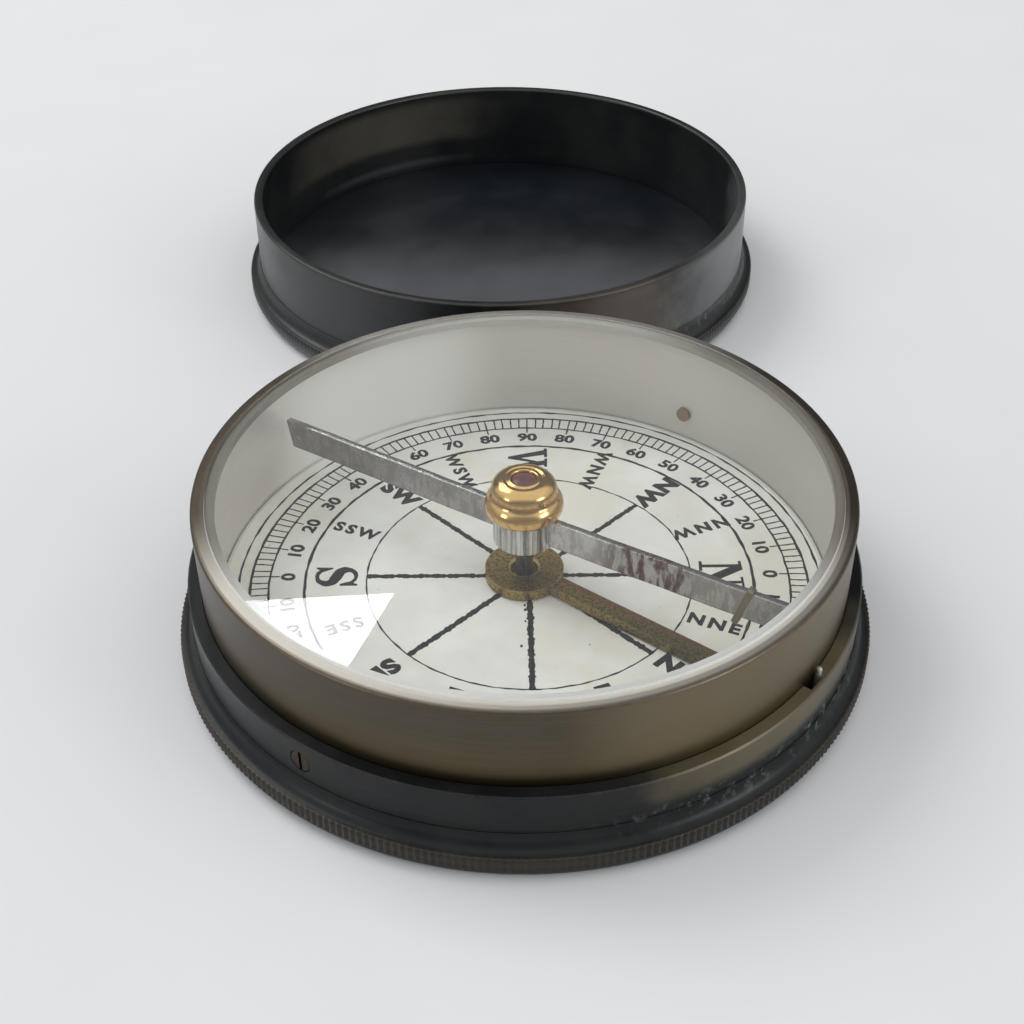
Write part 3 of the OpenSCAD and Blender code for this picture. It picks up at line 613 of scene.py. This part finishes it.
for seed, (circle_r, line_w, share) in enumerate([(12.535, 0.12, 0.3), (17.27, 0.22, 0.25),
                                                  (20.02, 0.16, 0.2), (21.445, 0.20, 0.2),
                                                  (22.38, 0.15, 0.4)]):
    turn = np.linspace(0, 2 * np.pi, 721)
    circle = circle_r * np.stack([np.cos(turn), np.sin(turn)], 1)
    print_band(wander(circle, 0.012, 1.7), uneven(len(turn), line_w, share, seed + 1.0))

line_widths = {0: 0.42, 45: 0.46, 89.3: 0.45, 134.8: 0.46, 180: 0.44, 225: 0.42, 270: 0.36,
               315: 0.40}
for bearing, line_w in line_widths.items():
    reach = np.linspace(2.4, 12.6, 60)
    line = reach[:, None] * dial_way(bearing)
    width = uneven(len(reach), line_w, 0.30, bearing * 0.1) * np.clip((12.75 - reach) / 0.3, 0.3, 1)
    print_band(wander(line, 0.014, 1.3), width)

for bearing in range(0, 360, 2):
    start = 19.3 if bearing % 10 == 0 else 19.98
    line = np.linspace(start, 21.45, 6)[:, None] * dial_way(bearing, 0.12 * np.sin(bearing * 1.7))
    print_band(wander(line, 0.008, 0.9), uneven(len(line), 0.125, 0.2, bearing))

# Spots of ink that fell beside the line at east
for spot_x, spot_y, spot_r in ((-0.34, -3.5, 0.09), (-0.30, -4.0, 0.12), (-0.29, -5.3, 0.08),
                               (-0.60, -8.0, 0.11), (0.34, -4.8, 0.06), (4.4, -7.9, 0.05)):
    turn = np.linspace(0, 2 * np.pi, 12, endpoint=False)
    spot = spot_r * np.stack([np.cos(turn), 1.3 * np.sin(turn)], 1)
    print_outline(wander(spot + (spot_x, spot_y), 0.008, 0.3))


def turned_to(outline, centre, size, x_angle):
    """An outline in letter units (height 1, centred) set at a place on the dial, its x axis turned
    to the angle given in degrees."""
    a = np.radians(x_angle)
    spin = np.array([[np.cos(a), np.sin(a)], [-np.sin(a), np.cos(a)]])
    return outline * size @ spin + centre


# The four large letters, as outlines with serifs in a box of height 1
letter_N = [(0, 0), (.34, 0), (.34, .07), (.22, .07), (.22, .72), (.66, 0), (.82, 0), (.82, .93),
            (.95, .93), (.95, 1), (.59, 1), (.59, .93), (.72, .93), (.72, .34), (.31, 1), (0, 1),
            (0, .93), (.12, .93), (.12, .07), (0, .07)]
letter_E = [(0, 0), (.76, 0), (.81, .34), (.74, .34), (.62, .09), (.37, .09), (.37, .46),
            (.49, .46), (.54, .33), (.60, .33), (.60, .69), (.54, .69), (.49, .56), (.37, .56),
            (.37, .91), (.60, .91), (.70, .70), (.77, .70), (.74, 1), (0, 1), (0, .93),
            (.13, .93), (.13, .07), (0, .07)]
letter_W = [(0, 1), (.38, 1), (.38, .93), (.28, .93), (.42, .32), (.56, .78), (.52, .93),
            (.44, .93), (.44, 1), (.80, 1), (.80, .93), (.72, .93), (.86, .32), (1.02, .93),
            (.92, .93), (.92, 1), (1.22, 1), (1.22, .93), (1.12, .93), (.87, 0), (.77, 0),
            (.60, .56), (.44, 0), (.34, 0), (.08, .93), (0, .93)]
# The S: its spine is an arc and the same arc turned half round, thickest in the middle
bowl = np.radians(np.linspace(38, 250, 30))
half = np.stack([0.36 + 0.25 * np.cos(bowl), 0.735 + 0.225 * np.sin(bowl)], 1)
spine = np.concatenate([half, np.array([0.72, 1.0]) - half[::-1]])
share = np.linspace(-1, 1, len(spine))
thick = 0.045 + 0.085 * np.exp(-(share / 0.42) ** 2)
across = leftward(spine)
outer, inner = spine - across * thick[:, None], spine + across * thick[:, None]
top_serif = np.array([(.63, .60), (.69, .60), (.69, 1.0), (.64, 1.0)])
letter_S = np.concatenate([inner[::-1], top_serif, outer, np.array([0.72, 1.0]) - top_serif])

for bearing, outline in {0: letter_N, 90: letter_E, 180: letter_S, 270: letter_W}.items():
    outline = np.array(outline, float)
    outline = outline - (outline.min(0) + outline.max(0)) / 2
    letter = turned_to(outline, letter_r * dial_way(bearing), 3.3, dial_turn - 90)
    print_outline(wander(letter, 0.02, 0.9))


def lettering(words, bold, spacing):
    """The words in plain type as a mesh: its corner points around the words' middle, and faces."""
    text = bpy.data.curves.new("type", "FONT")
    text.body, text.size, text.space_character = words, 1.0, spacing
    text.align_x, text.align_y = "CENTER", "CENTER"
    text.offset, text.resolution_u, text.extrude = bold, 3, 0.5
    setter = bpy.data.objects.new("type", text)
    mesh = bpy.data.meshes.new_from_object(setter)
    type_metal = bmesh.new()
    type_metal.from_mesh(mesh)
    bmesh.ops.remove_doubles(type_metal, verts=type_metal.verts, dist=1e-5)
    bmesh.ops.recalc_face_normals(type_metal, faces=type_metal.faces)
    type_metal.to_mesh(mesh)
    type_metal.free()
    points = np.zeros(len(mesh.vertices) * 3)
    mesh.vertices.foreach_get("co", points)
    points = points.reshape(-1, 3)
    faces = [tuple(face.vertices) for face in mesh.polygons]
    bpy.data.objects.remove(setter)
    bpy.data.curves.remove(text)
    bpy.data.meshes.remove(mesh)
    low, high = points[:, :2].min(0), points[:, :2].max(0)
    points[:, :2] = (points[:, :2] - (low + high) / 2) / (high[1] - low[1])
    return points, faces


def print_words(words, bearing, at_r, size, outward_top, wide, bold, spacing=1.0):
    """Prints words at a bearing and distance from the centre: their tops outwards, or running
    along the radius so that they read with north up."""
    points, faces = lettering(words, bold, spacing)
    direction = dial_turn - bearing
    if outward_top:
        x_angle = direction - 90
    else:
        x_angle = direction if 0 < bearing < 180 else direction + 180
    flat = turned_to(points[:, :2] * (wide, 1), at_r * dial_way(bearing), size, x_angle)
    flat = wander(flat, 0.012, 0.7)
    high = np.where(points[:, 2:] > 0, ink_up, ink_down)
    prints.append((np.hstack([flat, high]), faces))


for bearing in range(0, 360, 10):
    number = bearing % 180 if bearing % 180 <= 90 else 180 - bearing % 180
    print_words(str(number), bearing, number_r, 1.16, True, 1.15, 0.04)
for bearing, words in {45: "NE", 135: "SE", 225: "SW", 315: "NW"}.items():
    print_words(words, bearing, letter_r, 1.66, False, 1.12, 0.06, 1.12)
for bearing, words in {22.5: "NNE", 67.5: "ENE", 112.5: "ESE", 157.5: "SSE", 202.5: "SSW",
                       247.5: "WSW", 292.5: "WNW", 337.5: "NNW"}.items():
    print_words(words, bearing, letter_r, 1.22, False, 1.08, 0.045, 1.32)

starts = np.cumsum([0] + [len(points) for points, _ in prints])
mark_points = (np.concatenate([points for points, _ in prints]) * print_scale + print_shift) * mm
mark_faces = [tuple(int(corner + start) for corner in face)
              for start, (_, faces) in zip(starts, prints) for face in faces]
mesh = bpy.data.meshes.new("dial_marks")
mesh.from_pydata(mark_points.tolist(), [], mark_faces)
dial_marks = placed("dial_marks", mesh)
ink, tree, shader, place = turned_material("black_dial_ink")
fade = noise(tree, place["Point"], 3.0, 5.0, 0.7)
supply(tree, shader, Roughness=0.6, Specular_IOR_Level=0.15,
       Base_Color=tint(tree, between(tree, fade, 0.5, 0.8), (0.009, 0.009, 0.011),
                       (0.07, 0.065, 0.062)))
mesh.materials.append(ink)
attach(dial_marks, "case")

# The pivot: a steel pin, drawn, blued dark and ground to a point on which the needle's jewel
# swings. It is pressed into the brass bush in the middle of the dial.
steel_dark, tree, shader, place = turned_material("blued_pivot_steel", 1.0)
streak = noise(tree, place["Point"], (5.0, 5.0, 0.25), 5.0, 0.7)
supply(tree, shader, Roughness=between(tree, streak, 0.3, 0.7, 0.25, 0.4),
       Base_Color=tint(tree, between(tree, streak, 0.4, 0.62), (0.03, 0.03, 0.032),
                       (0.20, 0.19, 0.18)))
give_finish(steel_dark, "pivot_pin")

# The lifter: sawn from sheet brass, pitted and dulled olive, its far edge worn orange. It rocks on
# a steel pin between two lugs, with a leaf spring and the stud at its tail.
lifter_metal, tree, shader, place = turned_material("worn_lifter_brass", 1.0)
stipple = noise(tree, place["Point"], 5.0, 3.0, 0.7)
cloud = noise(tree, place["Point"], 0.5, 4.0, 0.6)
arm_way, pin_way = (0.7934, -0.6088, 0.0), (0.6088, 0.7934, 0.0)
across, outward = facing(tree, place["Point"], pin_way), facing(tree, place["Point"], arm_way)
olive = tint(tree, between(tree, outward, 4.0, 13.0), (0.36, 0.250, 0.072), (0.23, 0.185, 0.055))
orange = tint(tree, cloud, (0.25, 0.128, 0.052), (0.34, 0.18, 0.078))
strip = times(tree, between(tree, calc(tree, "MULTIPLY_ADD", cloud, 0.9, across), 0.42, 0.78),
              between(tree, outward, 2.4, 4.2))
colour = tint(tree, strip, olive, orange)
pits = between(tree, stipple, 0.51, 0.45)
colour = tint(tree, times(tree, pits, calc(tree, "MULTIPLY_ADD", strip, -0.25, 0.65)), colour,
              (0.022, 0.016, 0.008))
# Bright gold lines: the one round the hole is a painted glint, the other runs round the ring 3 mm
# out
for edge_r, edge_z, width, strength in ((1.10, 4.40, 0.22, 1.0), (3.0, 4.45, 0.10, 0.5)):
    line = worn_edge(tree, place, edge_r, edge_z, width, stipple, 0.3)
    colour = tint(tree, times(tree, line, strength), colour, (0.74, 0.50, 0.20))
supply(tree, shader, Base_Color=colour, Normal=bump(tree, 0.4, stipple),
       Roughness=between(tree, stipple, 0.3, 0.7, 0.50, 0.30))
give_finish(lifter_metal, "lifter")

bright_steel, tree, shader, place = turned_material("brushed_bright_steel", 1.0)
streak = noise(tree, place["Point"], (6.0, 6.0, 0.5), 4.0)
supply(tree, shader, Base_Color=tint(tree, streak, (0.36, 0.36, 0.36), (0.66, 0.66, 0.65)),
       Roughness=between(tree, streak, 0.3, 0.7, 0.2, 0.35),
       Normal=bump(tree, 0.4, streak))
give_finish(bright_steel, "lifter_pin")

# The leaf: a narrow strip, flat on the pocket's floor, that rises in half a cosine wave to bear up
# under the lifter's tail
leaf_sides = [(0.175, 0.02), (0.155, 0.0), (-0.155, 0.0), (-0.175, 0.02),
              (-0.175, 0.10), (-0.155, 0.12), (0.155, 0.12), (0.175, 0.10)]
leaf_at, leaf_reach, leaf_bend, leaf_climb, pocket_z = 24.406, 2.38, 1.48, 1.88, 2.0
reach = np.linspace(-leaf_reach, 0.0, 41)
rise = pocket_z + leaf_climb / 2 * (1 - np.cos(np.pi * np.clip(reach / leaf_bend + 1, 0, 1)))
wide, thick = np.array(leaf_sides).T
grid = np.stack(np.broadcast_arrays(leaf_at + wide, reach[:, None], rise[:, None] + thick), -1)
points = grid.reshape(-1, 3) @ np.stack([arm_way, pin_way, (0.0, 0.0, 1.0)])
ring = np.arange(len(leaf_sides))
faces = woven(len(reach), len(leaf_sides), False, True).tolist()
faces += [ring[::-1].tolist(), (ring + len(points) - len(leaf_sides)).tolist()]
leaf = made_piece("leaf_spring", points, faces, [bright_steel], "case",
                  "lifter_spring", 30.0)
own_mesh(leaf)

stud_metal, tree, shader, place = turned_material("dulled_stud_brass", 0.8)
speck = noise(tree, place["Point"], 3.0, 5.0, 0.6)
supply(tree, shader, Base_Color=tint(tree, speck, (0.30, 0.33, 0.27), (0.55, 0.56, 0.48)),
       Roughness=between(tree, speck, 0.3, 0.7, 0.35, 0.5))
give_finish(stud_metal, "lifter_stud")

# The needle: two steel strips that stand on edge, brushed grey and stained with rust towards
# their ends. Their inner ends are let into the hub.
needle_steel, tree, shader, place = turned_material("stained_needle_steel", 1.0)
outward = facing(tree, place["Point"], (0.8434, -0.5373, 0.0))
lengthwise = shade(tree, "CombineXYZ", times(tree, outward, 0.5), 0.0,
                   times(tree, place["Height"], 9.0))
brushed = noise(tree, lengthwise, 1.0, 4.0)
blotch = noise(tree, place["Point"], (1.5, 1.5, 0.45), 5.0, 0.65)
steel = tint(tree, brushed, (0.30, 0.295, 0.29), (0.48, 0.47, 0.46))
near_hub = times(tree, between(tree, outward, 1.0, 2.5), between(tree, outward, 8.5, 5.5))
steel = tint(tree, times(tree, near_hub, 0.6), steel, (0.60, 0.585, 0.565))
band = times(tree, between(tree, outward, 5.0, 9.0), between(tree, outward, 15.0, 13.0))
rust = times(tree, between(tree, blotch, 0.43, 0.58), calc(tree, "MAXIMUM", band, 0.3))
steel = tint(tree, rust, steel, (0.115, 0.055, 0.040))
low_edge = between(tree, place["Height"], 7.66, 7.55)
steel = tint(tree, times(tree, low_edge, 0.8), steel, (0.20, 0.11, 0.06))
supply(tree, shader, Base_Color=steel, Normal=bump(tree, 0.3, brushed),
       Roughness=calc(tree, "MULTIPLY_ADD", rust, 0.3, 0.25))

# One strip: a long bar with eased edges, wavy from wear above and below, its end cut slightly
# aslant with the lower corner worn round
bar_start, bar_tip, bar_z, bar_corner = 1.6, 22.375, 8.7, 0.07
corner = np.radians(np.linspace(0, 90, 4))
quarter = bar_corner * np.stack([np.cos(corner), np.sin(corner)], 1) + (0.205, 1.13)
turn_signs = [((1, 1), 1), ((-1, 1), -1), ((-1, -1), 1), ((1, -1), -1)]
section = np.concatenate([quarter[::order] * sign for sign, order in turn_signs])
share = np.concatenate([np.linspace(0, 0.997, 48), [1.0]])[:, None]
shrink = np.where(share < 1, 1.0, 0.86)
across, above = section[:, 0] * shrink, section[:, 1] * np.where(share < 1, 1.0, 0.965)
above = above + 0.012 * np.sin(share * 17) + 0.008 * np.sin(share * 41 + 1)
tip = bar_tip + 0.146 * above - 0.9 * np.clip(-0.75 - above, 0, 1) ** 2
length = bar_start + (tip - bar_start) * share
bars, bar_faces = [], []
for way in (1, -1):
    bar = np.stack([way * length, way * across, above + bar_z], -1).reshape(-1, 3)
    rows, columns = length.shape[0], len(section)
    start = len(bars) * rows * columns
    ring = np.arange(columns)
    bar_faces += (woven(rows, columns, False, True) + start).tolist()
    bar_faces += [(ring[::-1] + start).tolist(), (ring + start + (rows - 1) * columns).tolist()]
    bars.append(bar)


def turn_by(degrees):
    """The matrix that turns rows of points about the upright axis."""
    a = np.radians(degrees)
    return np.array([[np.cos(a), np.sin(a), 0], [-np.sin(a), np.cos(a), 0], [0, 0, 1]])


# The two strips are not quite in line
right_bar, left_bar = turn_by(-31.0), turn_by(-32.7)
made_piece("needle_edge_bars", np.concatenate([bars[0] @ right_bar, bars[1] @ left_bar]), bar_faces,
           [needle_steel], "needle", "needle_bars")

# The hub: a sleeve turned from drawn steel, streaked from top to bottom, that carries both
# strips. Its foot is bevelled to clear the lifter's ring.
hub_steel, tree, shader, place = turned_material("streaked_hub_steel", 1.0)
streak = noise(tree, place["Point"], (3.6, 3.6, 0.12), 5.0, 0.7)
supply(tree, shader, Base_Color=tint(tree, between(tree, streak, 0.34, 0.66), (0.19, 0.188, 0.18),
                                     (0.70, 0.69, 0.665)),
       Roughness=between(tree, streak, 0.3, 0.7, 0.16, 0.30),
       Normal=bump(tree, 0.5, streak, 0.02 * mm))
points, faces = turned(eased([(0.98, 8.0), (0.98, 6.65), (1.65, 6.65), (2.33, 7.35), (2.33, 9.9),
                              (0.98, 9.9), (0.98, 8.0)], (0, 0.08, 0.05, 0.12, 0.05, 0.05, 0))[:-1],
                       128)
made_piece("streaked_hub", points, faces, [hub_steel], "needle", "needle_hub")

# The cap: turned from brass and polished, with a bead below and a dome above. It is pushed on
# the hub and holds the dark red jewel, ground and rounded, that rests on the pivot's point.
cap_brass, tree, shader, place = turned_material("polished_cap_brass", 1.0)
rings = lathe_lines(tree, place, calc(tree, "ADD", place["Radius"], place["Height"]), 10.0)
speck = noise(tree, place["Point"], 2.0, 4.0)
gold = tint(tree, rings, (0.62, 0.37, 0.13), (0.86, 0.57, 0.22))
gold = tint(tree, between(tree, speck, 0.58, 0.72, 0.0, 0.5), gold, (0.44, 0.21, 0.09))
hollows = worn_edge(tree, place, 2.38, 11.62, 0.30, speck, 0.2)
gold = tint(tree, times(tree, hollows, 0.7), gold, (0.36, 0.17, 0.08))
supply(tree, shader, Base_Color=gold, Roughness=between(tree, speck, 0.3, 0.7, 0.11, 0.19),
       Normal=bump(tree, 0.25, rings))


def flowing(points, steps):
    """A smooth line through the points: between neighbours it is the cubic whose slope at each
    point is half the way from the one before to the one after."""
    p = np.array(points, float)
    p = np.concatenate([[2 * p[0] - p[1]], p, [2 * p[-1] - p[-2]]])
    t = np.linspace(0, 1, steps, endpoint=False)[:, None]
    a, b, c, d = (p[k:len(p) - 3 + k, None] for k in range(4))
    line = (b + t * (c - a) / 2 + t ** 2 * (2 * a - 5 * b + 4 * c - d) / 2
            + t ** 3 * (3 * b - a - 3 * c + d) / 2)
    return np.concatenate([line.reshape(-1, 2), p[-2:-1]])


cap_line = flowing([(2.36, 9.80), (2.68, 9.92), (2.88, 10.20), (2.94, 10.55), (2.89, 10.90),
                    (2.74, 11.20), (2.57, 11.42), (2.48, 11.60), (2.45, 11.80), (2.44, 12.00),
                    (2.40, 12.20), (2.31, 12.38), (2.18, 12.53), (2.01, 12.66), (1.82, 12.76),
                    (1.63, 12.82), (1.48, 12.81), (1.38, 12.76), (1.27, 12.77), (1.17, 12.83),
                    (1.06, 12.85), (0.98, 12.81), (0.94, 12.70)], 6)
points, faces = turned(np.concatenate([[(0.98, 9.3), (1.5, 9.3), (1.5, 9.80)], cap_line,
                                       [(0.94, 11.5)]]), 160)
made_piece("turned_cap", points, faces, [cap_brass], "needle", "needle_cap")

jewel_stone, tree, shader, place = turned_material("dark_red_jewel")
speck = noise(tree, place["Point"], 1.6, 4.0)
supply(tree, shader, Base_Color=tint(tree, speck, (0.085, 0.026, 0.032), (0.17, 0.055, 0.065)),
       Roughness=between(tree, speck, 0.3, 0.7, 0.14, 0.24))
points, faces = turned([(0, 11.62), (0.64, 11.12), (0.86, 11.12), (0.91, 11.18),
                        (0.91, 12.58), (0.88, 12.63), (0.78, 12.665), (0.5, 12.70),
                        (0.2, 12.715), (0, 12.715)], 96)
made_piece("domed_jewel", points, faces, [jewel_stone], "needle", "cap_jewel")

# The balance rider: a narrow strip of dulled brass, bent into a loop round one of the needle's
# strips, where it is pushed in or out until the needle lies level.
rider_metal, tree, shader, place = turned_material("dulled_rider_brass", 1.0)
speck = noise(tree, place["Point"], 3.0, 5.0)
supply(tree, shader, Base_Color=tint(tree, speck, (0.15, 0.125, 0.08), (0.29, 0.24, 0.155)),
       Roughness=between(tree, speck, 0.3, 0.7, 0.3, 0.45))

# Its loop: a long ring with round bends, 0.87 by 3.5, carried round as a flat strip, then leaned
# and set on the bar
half_w, half_h, bend_r = 0.365, 1.68, 0.22
bend = np.radians(np.linspace(0, 90, 7))
quarter = bend_r * np.stack([np.cos(bend), np.sin(bend)], 1) + (half_w - bend_r, half_h - bend_r)
loop = np.concatenate([quarter[::order] * sign for sign, order in turn_signs])
ahead_way = np.roll(loop, -1, 0) - np.roll(loop, 1, 0)
outwards = np.stack([ahead_way[:, 1], -ahead_way[:, 0]], 1)
outwards /= np.linalg.norm(outwards, axis=1)[:, None]
strip = np.array([(-0.25, -0.04), (-0.22, -0.07), (0.22, -0.07), (0.25, -0.04), (0.25, 0.04),
                  (0.22, 0.07), (-0.22, 0.07), (-0.25, 0.04)])
flat = loop[:, None] + outwards[:, None] * strip[None, :, 1:]
hang_r, hang_z, lean = 18.4, 10.13, np.radians(17)
along, below = np.broadcast_to(strip[:, 0], flat.shape[:2]), flat[..., 1] - half_h - 0.07
hung = np.stack([hang_r + along * np.cos(lean) + below * np.sin(lean), flat[..., 0],
                 hang_z - along * np.sin(lean) + below * np.cos(lean)], -1).reshape(-1, 3)
made_piece("bent_rider", hung @ right_bar, woven(len(loop), len(strip), True, True).tolist(),
           [rider_metal], "needle", "balance_rider")

# The seat ring: silvered brass, turned, with painted light in front and at the back and painted
# shade at the sides.
# The glass lies on it, a flat pane with a ground bevel, and the box's rim is turned in over it.
seat_silver, tree, shader, place = turned_material("silvered_seat", 0.25)
rings = lathe_lines(tree, place, place["Radius"], 9.0)
front = shade(tree, "SeparateXYZ", place["Round"], out=1)
# Painted light and shade: the seat pale in front and at the back, dark at the sides
painted_pale_share = calc(tree, "MAXIMUM", between(tree, front, -0.25, -0.75),
             between(tree, front, 0.70, 0.97, 0.0, 0.5))
supply(tree, shader, Roughness=between(tree, rings, 0.3, 0.7, 0.28, 0.4), Base_Color=tint(
    tree, painted_pale_share, tint(tree, rings, (0.22, 0.20, 0.17), (0.32, 0.295, 0.25)),
    tint(tree, rings, (0.78, 0.77, 0.73), (0.90, 0.89, 0.86))))
give_finish(seat_silver, "glass_seat")


def pane_glass(name, colour, roughness, clearness, front_colour=None):
    """Clear glass; light that only passes through it on its way to other surfaces, or has already
    been through it often, goes straight on. A colour may be given for the side in front: painted
    light."""
    material, tree, shader = new_material(name)
    if front_colour:
        front = shade(tree, "SeparateXYZ", use(tree, turned_place)["Round"], out=1)
        colour = tint(tree, between(tree, front, -0.1, -0.7), colour, front_colour)
    supply(tree, shader, Base_Color=colour, Roughness=roughness, IOR=1.5,
           Transmission_Weight=clearness)
    path = tree.nodes.new("ShaderNodeLightPath")
    passes = calc(tree, "MAXIMUM", path.outputs["Is Shadow Ray"], path.outputs["Is Diffuse Ray"])
    passes = calc(tree, "MAXIMUM", passes,
                  calc(tree, "GREATER_THAN", path.outputs["Ray Depth"], 2.5))
    through = shade(tree, "BsdfTransparent", (0.97, 0.98, 0.975))
    both = shade(tree, "MixShader", passes, shader.outputs[0], through)
    tree.links.new(both, tree.nodes["Material Output"].inputs["Surface"])
    return material


clear_glass = pane_glass("clear_window_glass", (0.985, 0.99, 0.98), 0.0, 1.0)
# The ground bevel: grey, with painted light, a pale colour, on the side in front
ground_glass = pane_glass("ground_bevel_glass", (0.60, 0.58, 0.54), 0.5, 0.2, (0.98, 0.98, 0.96))
pane_steps = 512
points, faces = turned([(0, 12.9), (23.2, 12.9), (23.2, 12.98), (23.08, 13.4), (0, 13.4)],
                       pane_steps)
pane = made_piece("bevelled_pane", points, faces, [clear_glass, ground_glass], "case",
                  "bevelled_glass", 20.0)
surface = np.zeros(len(pane.data.polygons), dtype=np.int32)
surface[:2 * pane_steps] = 1
pane.data.polygons.foreach_set("material_index", surface)
